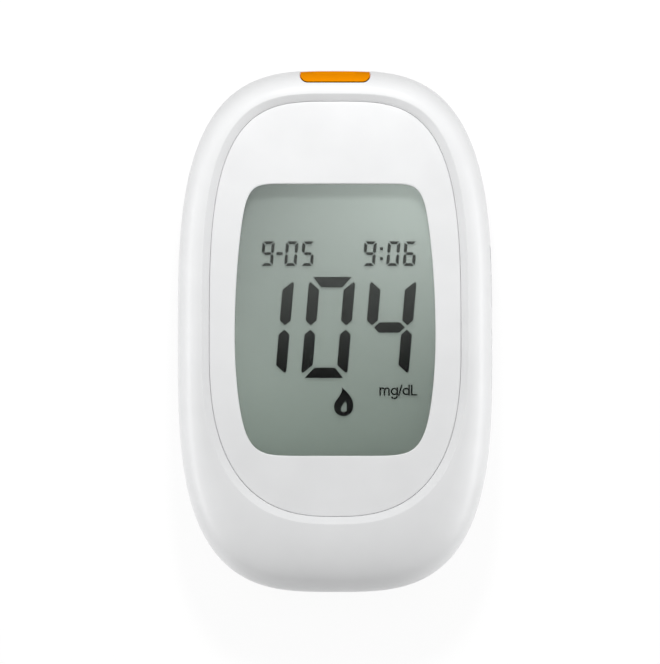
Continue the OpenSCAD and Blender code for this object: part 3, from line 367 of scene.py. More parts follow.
def ring_band_tree():
    """A band from a start outline to an end outline, straight at squareness 1 and round above that.

    A round band rises first, and draws in last. Round the outline, the points crowd at the corners.
    """
    ends = {f"{end}_{size}": 1.0 for end in ("start", "end") for size in [*OUTLINE, "height"]}
    tree, given = new_tree("ring_band", points_round=360, steps=1, squareness=1.0, crowding=0.68, **ends)
    grid = node(tree, "GeometryNodeMeshGrid", {
        "Size X": 1.0, "Size Y": 1.0,
        "Vertices X": given["points_round"] + 1, "Vertices Y": given["steps"] + 1,
    })
    grid_x, grid_y, _ = position(tree)
    turn = (grid_x + 0.5) * math.tau
    sweep = (grid_y + 0.5) * (math.pi / 2)
    across, along = [wave.math("SIGN") * wave.math("ABSOLUTE") ** given["crowding"]
                     for wave in (turn.math("COSINE"), turn.math("SINE"))]
    power = Term(tree, 2.0) / given["squareness"]
    inward = 1 - sweep.math("COSINE") ** power
    upward = sweep.math("SINE") ** power
    (x0, y0), (x1, y1) = [
        outline_point(across, along, {size: given[f"{end}_{size}"] for size in OUTLINE})
        for end in ("start", "end")
    ]
    return end_tree(tree, set_position(
        tree, grid,
        X=x0 * (1 - inward) + x1 * inward,
        Y=y0 * (1 - inward) + y1 * inward,
        Z=given["start_height"] * (1 - upward) + given["end_height"] * upward,
    ))


ring_band = ring_band_tree()


def new_piece(name, bm):
    """An object with a finished bmesh, still in millimetres."""
    bmesh.ops.remove_doubles(bm, verts=bm.verts, dist=same_point)
    bmesh.ops.recalc_face_normals(bm, faces=bm.faces)
    mesh = bpy.data.meshes.new(name)
    bm.to_mesh(mesh)
    bm.free()
    return added(name, mesh)


def ring_piece(name, stations, closed=True):
    """A solid through stations, each an outline, how far it is grown, and its height.

    Two more numbers are the squareness and the steps of the band to it, else that band is straight. A
    negative squareness draws in first and rises last. A solid that isn't closed has flat ends.
    """
    bm = bmesh.new()
    edges = [(grown(shape, by), height, *(band or (1, 1))) for shape, by, height, *band in stations]
    for k, (shape, height, _, _) in enumerate(edges if closed else edges[:-1]):
        next_shape, next_height, squareness, steps = edges[(k + 1) % len(edges)]
        ends = [("start", shape, height), ("end", next_shape, next_height)]
        if squareness < 0:
            ends = [("end", shape, height), ("start", next_shape, next_height)]
        sizes = {f"{end}_{size}": value for end, edge, _ in ends for size, value in edge.items()}
        sizes.update({f"{end}_height": float(z) for end, _, z in ends})
        band = made_by(ring_band, steps=steps, squareness=abs(float(squareness)), **sizes)
        bm.from_mesh(band)
        bpy.data.meshes.remove(band)
    bmesh.ops.remove_doubles(bm, verts=bm.verts, dist=same_seam)
    bmesh.ops.holes_fill(bm, edges=[e for e in bm.edges if e.is_boundary], sides=0)
    return new_piece(name, bm)


def skin(bm, rings):
    """A solid through rings of points, each with the same number of points."""
    loops = [[bm.verts.new(point) for point in ring] for ring in rings]
    for low, high in zip(loops, loops[1:]):
        for k, n in zip(range(len(low)), [*range(1, len(low)), 0]):
            bm.faces.new((low[k], low[n], high[n], high[k]))
    bm.faces.new(loops[0][::-1])
    bm.faces.new(loops[-1])
    return bm


def along_x(u, v, w):
    return w, u, v


def along_y(u, v, w):
    return u, w, v


def along_z(u, v, w):
    return u, v, w


def rounded(a, b, corner, middle=(0, 0), arc=8):
    """Points round a rectangle of half sides a and b, with round corners."""
    points = []
    for quarter, (side_u, side_v) in enumerate([(1, 1), (-1, 1), (-1, -1), (1, -1)]):
        for step in range(arc + 1):
            turn = math.radians(90 * (quarter + step / arc))
            points.append((middle[0] + side_u * (a - corner) + corner * math.cos(turn),
                           middle[1] + side_v * (b - corner) + corner * math.sin(turn)))
    return points


def slab(bm, a, b, corner, middle, stations, place=along_z, arc=8):
    """A rounded rectangle through stations: how far it is grown, and at what height."""
    rings = []
    for grow, height in stations:
        points = rounded(a + grow, b + grow, max(corner + grow, least_corner), middle, arc)
        rings.append([place(u, v, height) for u, v in points])
    return skin(bm, rings)


def rod(bm, x, y, stations, place=along_z, sides=48):
    """A turned solid: a radius at each height."""
    turns = [math.tau * k / sides for k in range(sides)]
    rings = [[place(x + r * math.cos(t), y + r * math.sin(t), z) for t in turns] for r, z in stations]
    return skin(bm, rings)


def modified(piece, kind, **values):
    """Runs one modifier on a piece, and keeps its result as the piece's plain mesh."""
    modifier = piece.modifiers.new(kind.lower(), kind)
    for name, value in values.items():
        setattr(modifier, name, value)
    old, piece.data = piece.data, evaluated(piece)
    piece.modifiers.clear()
    bpy.data.meshes.remove(old)
    piece.data.name = piece.name


def combine(piece, operation, bm):
    """Cuts the solids of a bmesh out of a piece, adds them, or keeps what lies in both."""
    tool = new_piece("tool", bm)
    modified(piece, "BOOLEAN", operation=operation, object=tool, solver="EXACT", use_self=True)
    bpy.data.objects.remove(tool)


def object_place(tree, size):
    """Object coordinates, counted in steps of a size in millimetres."""
    spot = node(tree, "ShaderNodeTexCoord").outputs["Object"]
    scale = (1 / (size * mm),) * 3
    return node(tree, "ShaderNodeMapping", {"Vector": spot, "Scale": scale})


def noise(tree, size, detail=2.0, rough=0.5):
    """Noise with blobs of about the given size in millimetres."""
    inputs = {"Vector": object_place(tree, size), "Scale": 1.0, "Detail": detail, "Roughness": rough}
    return node(tree, "ShaderNodeTexNoise", inputs).outputs["Fac"]


def ranged(tree, factor, low, high, start=0.3, end=0.7):
    """A number that runs from low to high as the factor runs from start to end."""
    inputs = {"Value": factor, "From Min": start, "From Max": end, "To Min": low, "To Max": high}
    return node(tree, "ShaderNodeMapRange", inputs).outputs["Result"]


def blended(tree, factor, first, second):
    """A colour that runs from the first to the second."""
    inputs = {0: factor, 6: first, 7: second}
    return node(tree, "ShaderNodeMix", inputs, data_type="RGBA").outputs[2]


def relief(tree, height, depth):
    """A normal for relief of the given depth in millimetres."""
    inputs = {"Height": height, "Distance": depth * mm, "Strength": 1.0}
    return node(tree, "ShaderNodeBump", inputs)


def moulded(name, colour, shade=0.96, gloss=(0.26, 0.34), ripple=2.4, depth=0.0006, detail=2.0, shine=0.5):
    """Moulded plastic: soft shifts of tint and gloss, and a ripple of the given width and depth."""
    material, tree = new_material(name)
    darker = (*(c * shade for c in colour), 1)
    tint = ranged(tree, noise(tree, 9), 0.0, 1.0)
    return surfaced(material, {
        "Base Color": blended(tree, tint, darker, (*colour, 1)),
        "Roughness": ranged(tree, noise(tree, 3), *gloss),
        "Specular IOR Level": shine,
        "Normal": relief(tree, noise(tree, ripple, detail), depth),
    })


level = 0.9999


def finished(piece, material, body, slot, *nodes, angle=35):
    """Brings a piece to metres, shades and coats it, ties it to its body, and hides the CAD nodes it stands
    for.

    A level face of five corners or more is shaded flat. The slot is not used.
    """
    mesh = piece.data
    mesh.transform(Matrix.Scale(mm, 4))
    mesh.materials.clear()
    mesh.materials.append(material)
    mesh.shade_smooth()
    for polygon in mesh.polygons:
        polygon.use_smooth = abs(polygon.normal.z) < level or len(polygon.vertices) < 5
    mesh.set_sharp_from_angle(angle=math.radians(angle))
    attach(piece, body)
    if nodes:
        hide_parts(*nodes)
    return piece


shell_white = moulded("shell_white", (0.815, 0.82, 0.825), gloss=(0.42, 0.5))

front_shell = ring_piece("front_shell", [
    (BODY, -seam, parting_z),
    (BODY, 0, parting_z + seam),
    (BODY, -draft, side_z, 1, 4),
    (PLATE, gap + bevel_w, top_z, case_squareness, 26),
    (PLATE, gap + bevel_w - rim_edge, top_z - rim_edge_h, 2, 4),
    (PLATE, gap + foot_w, plate_z + foot_h, -bevel_hollow, 6),
    (PLATE, seam_gap, plate_z - foot_sink, 2, 3),
    (PLATE, seam_gap, shelf_z, 1, 2),
    (WINDOW, shelf_hole, shelf_z),
    (WINDOW, shelf_hole, shelf_under),
    (PLATE, recess_wall, shelf_under),
    (PLATE, recess_wall, top_z - wall),
    (BODY, -draft - wall, side_z, -case_squareness, 10),
    (BODY, -wall, parting_z + lip_h + gap),
    (BODY, -wall + lip_t + gap, parting_z + lip_h + gap),
    (BODY, -wall + lip_t + gap, parting_z),
])

front_bosses = bmesh.new()
for x, y in screw_places:
    rod(front_bosses, x, y, [(boss_r, board_top), (boss_r, shelf_under + overlap)])
combine(front_shell, "UNION", front_bosses)

port_middle = (0, port_y + port_reach)
notch_ends = (parting_z - 1, top_z + 5)
key_hole = [(key_gap, key_flare_x - 5), (key_gap, key_flare_x), (key_gap + 1, key_flare_x + 1)]
front_cuts = bmesh.new()
for x, y in screw_places:
    rod(front_cuts, x, y, [(thread_hole_r, board_top - 1), (thread_hole_r, thread_end)], sides=24)
slab(front_cuts, port_a, port_reach, port_corner, port_middle, [(0, z) for z in notch_ends])
for y in key_rows.values():
    slab(front_cuts, key_a, key_b, key_b, (y, key_z), key_hole, along_x, 12)
combine(front_shell, "DIFFERENCE", front_cuts)

throat_z0 = parting_z + lip_h
throat_middle = (0, (throat_z + throat_z0) / 2)
throat_b = (throat_z - throat_z0) / 2
throat_run = [(0, port_inner), (0, port_y + port_corner)]
combine(front_shell, "DIFFERENCE",
        slab(bmesh.new(), port_a, throat_b, least_corner, throat_middle, throat_run, along_y, 1))
finished(front_shell, shell_white, "meter", "housing_white", "front_housing")


# ---- face plate
# A thin moulded white plate, slightly crowned, taped into the rim's recess. Its edge is rounded, and
# the edge of its window is crisp.

plate_edge = 0.12
plate_rim_z = plate_z - 0.2
window_edge = 0.12
crown = 1.2
plate_white = moulded("plate_white", (0.82, 0.825, 0.83), gloss=(0.31, 0.37))

face_plate = ring_piece("face_plate_moulding", [
    (PLATE, 0, plate_low.z),
    (PLATE, 0, plate_rim_z - plate_edge),
    (PLATE, -plate_edge, plate_rim_z, 2, 4),
    (WINDOW, window_edge, plate_high.z, crown, 24),
    (WINDOW, 0, plate_high.z - window_edge, 2, 3),
    (WINDOW, 0, plate_low.z),
])
finished(face_plate, plate_white, "meter", "plate_white", "face_plate")


# ---- plate tape
# A ring die-cut from thin double-sided tape, off-white and dull. It lies on the shelf of the front shell,
# and holds the face plate down.


def dress(name, material):
    """Gives a CAD node's solid its material."""
    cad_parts[name].data.materials.clear()
    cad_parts[name].data.materials.append(material)


dress("plate_adhesive", moulded("tape", (0.7, 0.68, 0.6), 0.85, (0.5, 0.7), 0.4, 0.01, 4.0))


# ---- display window
# A clear acrylic pane with a flange under the plate, and its face a little below the plate's face.
# It is seen through, and mirrors the room only at a low angle.

least_mirror = 0.004


def clear(name, tint, shine, gloss):
    """A clear solid: a tint for what is behind it, and a mirror that grows at low angles."""
    material, tree = new_material(name)
    through = node(tree, "ShaderNodeBsdfTransparent", {"Color": (*tint, 1)})
    mirror = node(tree, "ShaderNodeBsdfPrincipled", {
        "Base Color": (0.9, 0.9, 0.9, 1),
        "Metallic": 1.0,
        "Roughness": ranged(tree, noise(tree, 6), gloss, gloss + 0.03),
    })
    facing = Term(tree, node(tree, "ShaderNodeLayerWeight", {"Blend": 0.5}).outputs["Facing"])
    cover = (facing ** 5.0 + least_mirror) * shine
    return surfaced(material, {0: cover, 1: through, 2: mirror}, "ShaderNodeMixShader")


pane_z = plate_high.z - 0.12
pane_edge = 0.1
pane_gap = 0.08
flange_t = 0.7
pane = ring_piece("window_pane", [
    (WINDOW, pane_flange, pane_low.z),
    (WINDOW, pane_flange, pane_low.z + flange_t),
    (WINDOW, -pane_gap, pane_low.z + flange_t),
    (WINDOW, -pane_gap, pane_z - pane_edge),
    (WINDOW, -pane_gap - pane_edge, pane_z, 2, 3),
], closed=False)
pane_clear = clear("pane_clear", (0.985, 0.99, 0.985), 0.7, 0.04)
finished(pane, pane_clear, "meter", "window_clear", "display_window")


# ---- window seal
# A ring die-cut from a sheet of black foam. It is held between the pane's flange and the display, and
# keeps dust off the glass.

seal_w = 0.9
seal_inner = 0.2
seal_z0, seal_z1 = (corner.z for corner in corners("window_gasket"))
seal = ring_piece("window_seal", [
    (WINDOW, seal_inner, seal_z0),
    (WINDOW, seal_inner, seal_z1),
    (WINDOW, seal_inner + seal_w, seal_z1),
    (WINDOW, seal_inner + seal_w, seal_z0),
])
foam = moulded("foam_black", (0.03, 0.03, 0.032), 0.5, (0.8, 0.95), 0.12, 0.05, 5.0)
finished(seal, foam, "meter", "foam_black", "window_gasket")


# ---- strip port
# An orange moulding in a notch at the top end. It follows the case's rounding, and its slot opens in a
# smooth mouth that leads the test strip in. A flange behind the wall keeps it in place.

port_low, port_high = corners("strip_port")
port_sunk = rear_high.y - port_high.y
port_gap = 0.2
slot_a = 3.8
slot_b = 0.55
slot_z = 16.1
mouth_a = 4.2
mouth_b = 1.6
mouth_l = 1.1
mouth_steps = 6
mouth_curve = 1.8
slot_round = 0.3
mouth_round = 1.0
mouth_beyond_x = 1.05
mouth_beyond_z = 1.2
port_flange_t = 0.7
port_flange_corner = 0.4

port = ring_piece("strip_port_moulding", [
    (BODY, -port_sunk, port_low.z),
    (BODY, -draft - port_sunk, side_z, 1, 4),
    (PLATE, gap + bevel_w, top_z - port_sunk, case_squareness, 26),
], closed=False)
notch_run = [(-port_gap, z) for z in notch_ends]
combine(port, "INTERSECT", slab(bmesh.new(), port_a, port_reach, port_corner, port_middle, notch_run))
combine(port, "UNION",
        slab(bmesh.new(), port_a - gap, throat_b - gap, least_corner, throat_middle, throat_run, along_y, 1))
flange_z0 = throat_z0 + 3 * gap
flange_z1 = throat_z - gap
flange_run = [(0, port_inner), (0, port_inner + port_flange_t)]
combine(port, "UNION",
        slab(bmesh.new(), port_high.x, (flange_z1 - flange_z0) / 2, port_flange_corner,
             (0, (flange_z0 + flange_z1) / 2), flange_run, along_y, 4))

mouth_rings = [[along_y(u, v, port_inner - 1) for u, v in rounded(slot_a, slot_b, slot_round, (0, slot_z))]]
for step in range(mouth_steps + 1):
    share = step / mouth_steps
    flare = share ** mouth_curve
    mouth_outline = rounded(slot_a + (mouth_a - slot_a) * flare, slot_b + (mouth_b - slot_b) * flare,
                            slot_round + (mouth_round - slot_round) * flare, (0, slot_z))
    mouth_rings.append([along_y(u, v, port_high.y - mouth_l * (1 - share)) for u, v in mouth_outline])
mouth_rings.append([(x * mouth_beyond_x, y + 1, slot_z + (z - slot_z) * mouth_beyond_z)
                    for x, y, z in mouth_rings[-1]])
combine(port, "DIFFERENCE", skin(bmesh.new(), mouth_rings))
port_orange = moulded("port_orange", (0.88, 0.28, 0.001), 0.97, (0.45, 0.52), shine=0.0)
finished(port, port_orange, "meter", "orange_plastic", "strip_port")


# ---- display
# A reflective liquid crystal cell: a polarizer, two glasses with the lit segments between them, and
# behind them a grey-green reflector film. All five are flat sheets, laid in the tray.

# Rows between which the reflector and the segments are painted darker towards the bottom: painted shade.
reflector_painted_shade_rows = (20, -24)
film_a = 18
film_least_row = -0.4
ink_painted_shade_rows = (10, -8)

dress("lcd_polarizer", clear("polarizer", (0.965, 0.975, 0.97), 0.2, 0.25))
cell_glass = clear("cell_glass", (0.993, 0.996, 0.994), 0.1, 0.05)
dress("lcd_front_glass", cell_glass)
dress("lcd_rear_glass", cell_glass)


def film(name, painted_lit_colour, painted_shade_colour, painted_shade_rows, metallic, gloss, bow):
    """A film with a fine grain, painted darker between two rows and lighter to its upper right: painted shade
    and a painted highlight.
    """
    material, tree = new_material(name)
    across, along, _ = parts_of(tree, object_place(tree, 1))
    # Painted shade: the colour runs from the lit colour at the first row to the shaded colour at the second.
    depth = ranged(tree, along, 0.0, 1.0, *painted_shade_rows)
    grey = blended(tree, depth, (*painted_lit_colour, 1), (*painted_shade_colour, 1))
    # Painted highlight: bow lightens the film towards its upper right and darkens it towards its upper left,
    # and a little the other way below its middle.
    row = (along / painted_shade_rows[0]).math("MAXIMUM", film_least_row)
    painted_highlight = across / film_a * row * bow
    flake = Term(tree, ranged(tree, noise(tree, 0.16, 3.0, 0.7), 0.92, 1.08))
    return surfaced(material, {
        "Base Color": node(tree, "ShaderNodeVectorMath", {0: grey, "Scale": flake * (painted_highlight + 1)},
                           operation="SCALE"),
        "Metallic": metallic,
        "Roughness": ranged(tree, noise(tree, 0.3, 2.0), *gloss),
        "Specular IOR Level": 0.0,
        "Normal": relief(tree, noise(tree, 0.2, 3.0), 0.001),
    })


# The segments are painted darker towards the bottom: painted shade.
dress("lcd_segments", film("segment_black", (0.072, 0.073, 0.072), (0.008, 0.008, 0.008), ink_painted_shade_rows,
                           0.0, (0.5, 0.6), 0.0))
# The reflector is painted darker towards the bottom and lighter to its upper right: painted shade and a
# painted highlight.
dress("lcd_reflector", film("reflector_film", (0.472, 0.502, 0.487), (0.238, 0.272, 0.248), reflector_painted_shade_rows,
                            0.6, (0.09, 0.12), 0.25))


# ---- tray and rubber connector
# A white moulded tray carries the glass over the board, and a striped rubber bar at its lower end joins
# the glass to the board's pads.

stripe_pitch = 0.36


def striped_rubber():
    material, tree = new_material("striped_rubber")
    across = parts_of(tree, object_place(tree, stripe_pitch))[0]
    stripe = across.math("FRACT").math("GREATER_THAN", 0.5)
    return surfaced(material, {
        "Base Color": blended(tree, stripe, (0.02, 0.02, 0.02, 1), (0.35, 0.34, 0.33, 1)),
        "Roughness": ranged(tree, noise(tree, 0.5), 0.6, 0.75),
        "Normal": relief(tree, noise(tree, 0.3, 3.0), 0.004),
    })


dress("lcd_holder", moulded("tray_white", (0.72, 0.72, 0.7), 0.94, (0.45, 0.55), 0.5, 0.004, 3.0))
dress("zebra_strip", striped_rubber())


# ---- circuit board
# A green glass-fibre board with solder mask, clamped between the screw bosses of the two shells. Tinned
# vias show through the mask.

board_a = corners("main_board")[1].x
board_z = corners("main_board")[0].z
via_pitch = 1.9
via_share = 0.12


def solder_mask():
    material, tree = new_material("solder_mask")
    cells = node(tree, "ShaderNodeTexVoronoi",
                 {"Vector": object_place(tree, via_pitch), "Scale": 1.0, "Randomness": 0.8})
    via = Term(tree, cells.outputs["Distance"]).math("LESS_THAN", via_share)
    tracks = node(tree, "ShaderNodeTexBrick", {
        "Vector": object_place(tree, 1.2), "Scale": 1.0, "Mortar Size": 0.06, "Color1": (0.02, 0.16, 0.07, 1),
        "Color2": (0.03, 0.2, 0.09, 1), "Mortar": (0.05, 0.3, 0.14, 1),
    })
    return surfaced(material, {
        "Base Color": blended(tree, via, tracks.outputs["Color"], (0.75, 0.7, 0.6, 1)),
        "Metallic": via,
        "Roughness": ranged(tree, noise(tree, 1.5), 0.25, 0.4),
        "Normal": relief(tree, tracks.outputs["Fac"], 0.02),
    })


dress("main_board", solder_mask())


# ---- chips
# Two black moulded chips under the board, each with a dimple at its first corner, and tinned legs bent
# to the board's pads along two sides.

chip_gap = 0.1
leg_w = 0.3
leg_t = 0.15
leg_reach = 0.8
leg_out = 0.25
leg_root = 0.2
leg_root_z = -0.7
leg_slant = 0.12
chip_corner = 0.15
chip_edge = 0.12
chip_top_edge = 0.1
dimple_r = 0.4
dimple_depth = 0.1
dimple_in = 1
chip_black = moulded("chip_black", (0.025, 0.025, 0.027), 0.8, (0.45, 0.55), 0.12, 0.01, 4.0)


def metal(name, colour, gloss, grain_size=0.8, depth=0.002):
    """Bare metal with an uneven grain."""
    material, tree = new_material(name)
    grain = noise(tree, grain_size, 4.0, 0.6)
    darker = (*(c * 0.85 for c in colour), 1)
    return surfaced(material, {
        "Base Color": blended(tree, grain, darker, (*colour, 1)),
        "Metallic": 1.0,
        "Roughness": ranged(tree, grain, *gloss),
        "Normal": relief(tree, grain, depth),
    })


tinned = metal("tinned", (0.72, 0.72, 0.7), (0.25, 0.4))


def shifted(tree, geometry, by):
    return node(tree, "GeometryNodeTransform", {"Geometry": geometry, "Translation": by})


def turned(tree, geometry, by):
    return node(tree, "GeometryNodeTransform", {"Geometry": geometry, "Rotation": by})


def in_row(tree, given, item, first, step, **more):
    """Copies of an item in a row along Y, from its first place by equal steps."""
    row = node(tree, "GeometryNodeMeshLine", {
        "Count": given["count"], "Start Location": vector(tree, Y=first), "Offset": vector(tree, Y=step),
    })
    return node(tree, "GeometryNodeInstanceOnPoints", {"Points": row, "Instance": item, **more})


def row_start(given):
    """Where a row begins that has its middle at the origin."""
    return given["pitch"] * (given["count"] - 1) * -0.5


def swept(tree, path, section):
    """A bar along a path, with closed ends."""
    return node(tree, "GeometryNodeCurveToMesh",
                {"Curve": path, "Profile Curve": section, "Fill Caps": True})


def bent_legs_tree():
    """A strip of metal along a path, in a row of legs, with a second row turned half round."""
    tree, given = new_tree("bent_legs", width=leg_w, thickness=leg_t, count=8, pitch=0.8,
                           place=(0.0, 0.0, 0.0))
    path = node(tree, "GeometryNodeMeshToCurve", {"Mesh": tree.nodes["Group Input"]})
    section = node(tree, "GeometryNodeCurvePrimitiveQuadrilateral",
                   {"Width": given["thickness"], "Height": given["width"]})
    legs = in_row(tree, given, swept(tree, path, section), row_start(given), given["pitch"])
    both = node(tree, "GeometryNodeJoinGeometry", {0: [turned(tree, legs, (0, 0, math.pi)), legs]})
    return end_tree(tree, shifted(tree, both, given["place"]))


def path_mesh(name, points):
    """A mesh of one open line through points."""
    mesh = bpy.data.meshes.new(name)
    mesh.from_pydata(points, [(k, k + 1) for k in range(len(points) - 1)], [])
    return mesh


def from_mesh(name, mesh):
    """A piece from a mesh that a tree has made."""
    bm = bmesh.new()
    bm.from_mesh(mesh)
    return new_piece(name, bm)


bent_legs = bent_legs_tree()
chip_top = board_z - chip_gap
chip_sizes = {"microcontroller": (9, 9, 1.4, 12), "measuring_chip": (5, 6, 1.2, 7)}
for name, (chip_w, chip_l, chip_h, leg_count) in chip_sizes.items():
    low, high = corners(name)
    chip_x = (low.x + high.x) / 2
    chip_y = (low.y + high.y) / 2
    chip_low = chip_top - chip_h
    chip_run = [(-chip_edge, chip_low), (0, chip_low + chip_edge),
                (0, chip_top - chip_top_edge), (-chip_top_edge, chip_top)]
    chip = new_piece(f"{name}_body", slab(bmesh.new(), chip_w / 2, chip_l / 2, chip_corner, (chip_x, chip_y),
                                          chip_run, arc=2))
    dimple_run = [(dimple_r, chip_low - 1), (dimple_r, chip_low + dimple_depth)]
    combine(chip, "DIFFERENCE", rod(bmesh.new(), chip_x - chip_w / 2 + dimple_in,
                                    chip_y + chip_l / 2 - dimple_in, dimple_run, sides=24))
    finished(chip, chip_black, "meter", "chip_black", name)
    knee_x = chip_w / 2 + leg_out
    leg_path = path_mesh("leg", [
        (chip_w / 2 - leg_root, 0, leg_root_z),
        (knee_x, 0, leg_root_z),
        (knee_x + leg_slant, 0, -leg_t / 2),
        (chip_w / 2 + leg_reach, 0, -leg_t / 2),
    ])
    legs = made_by(bent_legs, leg_path, count=leg_count, pitch=chip_l / leg_count,
                   place=(chip_x, chip_y, board_z))
    finished(from_mesh(f"{name}_legs", legs), tinned, "meter", "nickel_can")


# ---- small parts of the board
# A crystal in a nickel can, twelve chip resistors and capacitors with tinned ends, and a flat sounder
# with its outlet, all soldered under the board.

passive_pitch = 2.4
passive_first = board_a / 4
passive_bare = 0.42


def passive_ends():
    """Ceramic bodies with tinned ends: each part's ends are a set way from the middle of its place."""
    material, tree = new_material("chip_parts")
    across = parts_of(tree, object_place(tree, 1))[0]
    place = (across - passive_first) / passive_pitch + 0.5
    off = (place.math("FRACT") - 0.5).math("ABSOLUTE") * passive_pitch
    end = off.math("GREATER_THAN", passive_bare)
    return surfaced(material, {
        "Base Color": blended(tree, end, (0.2, 0.13, 0.08, 1), (0.7, 0.7, 0.68, 1)),
        "Metallic": end,
        "Roughness": ranged(tree, noise(tree, 0.4), 0.35, 0.5),
    })


dress("chip_passives", passive_ends())
dress("crystal", metal("can_nickel", (0.66, 0.64, 0.6), (0.2, 0.3), 2.0))
dress("buzzer", moulded("sounder_black", (0.03, 0.03, 0.032), 0.8, (0.4, 0.5), 0.2, 0.008, 4.0))


# ---- strip socket
# An ivory moulded socket on the board's tongue, with four gilt spring contacts that dip into its slot
# and press on the strip's pads.

dress("strip_connector", moulded("socket_ivory", (0.7, 0.66, 0.56), 0.93, (0.4, 0.5), 0.4, 0.004, 3.0))
dress("strip_contacts", metal("gilt", (0.85, 0.62, 0.25), (0.2, 0.3)))


# ---- side switches
# Two side-acting switches, soldered under the board's edge behind the side keys. Each is a black moulded
# case with a brown plunger.

switch_black = moulded("switch_black", (0.035, 0.035, 0.037), 0.8, (0.4, 0.5), 0.2, 0.006, 4.0)
plunger_brown = moulded("plunger_brown", (0.14, 0.07, 0.035), 0.9, (0.4, 0.5), 0.3, 0.004, 3.0)
for name in key_rows:
    dress(f"{name}_switch", switch_black)
    dress(f"{name}_plunger", plunger_brown)


# ---- side keys
# Two pill-shaped keys of satin grey plastic in the right side wall. Each has a face with tactile dots
# and a round edge, a flange behind the wall, and a stub that meets its switch's plunger.

key_dots = {"memory": 1, "set": 2}
key_flange_x = 25.4
key_flange_t = 0.6
key_flange_corner = 0.5
key_flange_edge = 0.1
key_round = 0.45
stub_a = 2
stub_b = 1.2
stub_corner = 0.3
stub_edge = 0.15
dot_r = 0.32
dot_h = 0.14
dot_pitch = 1.6
key_grey = moulded("key_grey", (0.62, 0.63, 0.645), 0.95, (0.4, 0.5), 0.25, 0.006, 4.0)


def dot_row_tree():
    """A row of low domes along Y, on a face that looks along X."""
    tree, given = new_tree("dot_row", count=1, pitch=dot_pitch, radius=dot_r, height=dot_h,
                           place=(0.0, 0.0, 0.0))
    dome = node(tree, "GeometryNodeMeshUVSphere", {"Segments": 24, "Rings": 12, "Radius": 1.0})
    size = vector(tree, X=given["height"], Y=given["radius"], Z=given["radius"])
    dots = in_row(tree, given, dome, row_start(given), given["pitch"], Scale=size)
    return end_tree(tree, shifted(tree, dots, given["place"]))


def edge_rounding(height, edge, up):
    """Stations of a rounded edge that ends at a height: under a solid, or on top of it."""
    turns = [math.radians(18 * k) for k in range(6)]
    if up:
        return [(-edge * (1 - math.cos(t)), height - edge * (1 - math.sin(t))) for t in turns]
    return [(-edge * (1 - math.sin(t)), height + edge * (1 - math.cos(t))) for t in turns]


dot_row = dot_row_tree()
for name, y in key_rows.items():
    low, high = corners(f"{name}_key")
    bm = bmesh.new()
    slab(bm, key_a, key_b, key_b, (y, key_z), [(0, key_flange_x), *edge_rounding(high.x, key_round, True)],
         along_x, 12)
    flange_foot = key_flange_x + key_flange_edge
    flange_run = [(-key_flange_edge, key_flange_x), (0, flange_foot), (0, key_flange_x + key_flange_t)]
    slab(bm, (high.y - low.y) / 2, (high.z - low.z) / 2, key_flange_corner, (y, key_z), flange_run,
         along_x, 4)
    stub_run = [(-stub_edge, low.x), (0, low.x + stub_edge), (0, flange_foot)]
    slab(bm, stub_a, stub_b, stub_corner, (y, key_z), stub_run, along_x, 4)
    bm.from_mesh(made_by(dot_row, count=key_dots[name], place=(high.x, y, key_z)))
    key_cap = new_piece(f"{name}_key_cap", bm)
    finished(key_cap, key_grey, f"{name}_button", "key_grey", f"{name}_key", angle=40)


# ---- rear shell
# The lower half of the case, moulded in the same white ABS: a rounded back with a lip at the seam, and
# moulded into it the battery bay, four screw bosses, and the seat, rails and spring stop of the ejector.

back_round = 5.5
bay_a = 11.3
bay_wall = 1.2
bay_y0 = -38.0
bay_y1 = 13.8
bay_top = 12.6
bay_roof = 0.9
cover_a = 12.9
cover_y0 = -40.8
cover_y1 = 16.2
cover_z = 1.65
cover_low = 0.15
cover_gap = 0.15
cover_seat = 1.75
cover_corner = 0.9
cover_shelf = 1.4
shelf_t = 1.2
shelf_overlap = 0.3
hook_x = 7.0
hook_a = 2.0
hook_reach = 1.2
hook_side = 0.2
hook_top = 2.95
hook_room_z = 3.45
latch_a = 3.0
latch_side = 0.3
latch_room_z = 7.65
cell_x = 5.45
cell_z = 7.25
cell_r = 5.25
tail_way_a = 1.2
tail_way_l = 0.6
pocket_y0 = 25.8
pocket_y1 = 39.5
pocket_a = 5.25
pocket_depth = 1.6
pocket_corner = 0.7
seat_wall = 1.6
seat_top = 3.0
neck_a = 2.4
neck_b = 2.45
neck_y = 30.4
travel = 4.5
end_gap = 0.3
rail_x = 5.15
rail_w = 1.1
rail_z = 4.5
rail_t = 0.6
rail_reach = 0.9
lip_inset = 0.02
stop_y = 43.7
stop_a = 2.0
stop_t = 1.2
stop_rise = 2.4
spring_z = 7.2
pin_r = 1.3
pin_l = 0.5
pin_edge = 0.15
head_hole_r = 2.0
shank_hole_r = 1.15
rear_boss_wall = 1.1
head_hole_top = 4.6
boss_top = 13.7
edge_break = 0.22

rear_shell = ring_piece("rear_shell", [
    (BODY, -back_round, 0),
    (BODY, 0, parting_z - seam, -case_squareness, 26),
    (BODY, -seam, parting_z),
    (BODY, -wall + lip_t, parting_z),
    (BODY, -wall + lip_t, parting_z + lip_h),
    (BODY, -wall, parting_z + lip_h),
    (BODY, -wall, parting_z),
    (BODY, -wall - back_round, wall, case_squareness, 14),
], closed=False)


def box(bm, x0, x1, y0, y1, z0, z1):
    """A block from corner to corner."""
    place = Matrix.Translation(((x0 + x1) / 2, (y0 + y1) / 2, (z0 + z1) / 2))
    bmesh.ops.create_cube(bm, size=1, matrix=place @ Matrix.Diagonal((x1 - x0, y1 - y0, z1 - z0, 1)))


def flared(depth):
    """Stations of a cut from below the back up to a depth, with its edge broken."""
    return [(edge_break + 1, -1), (0, edge_break), (0, depth)]


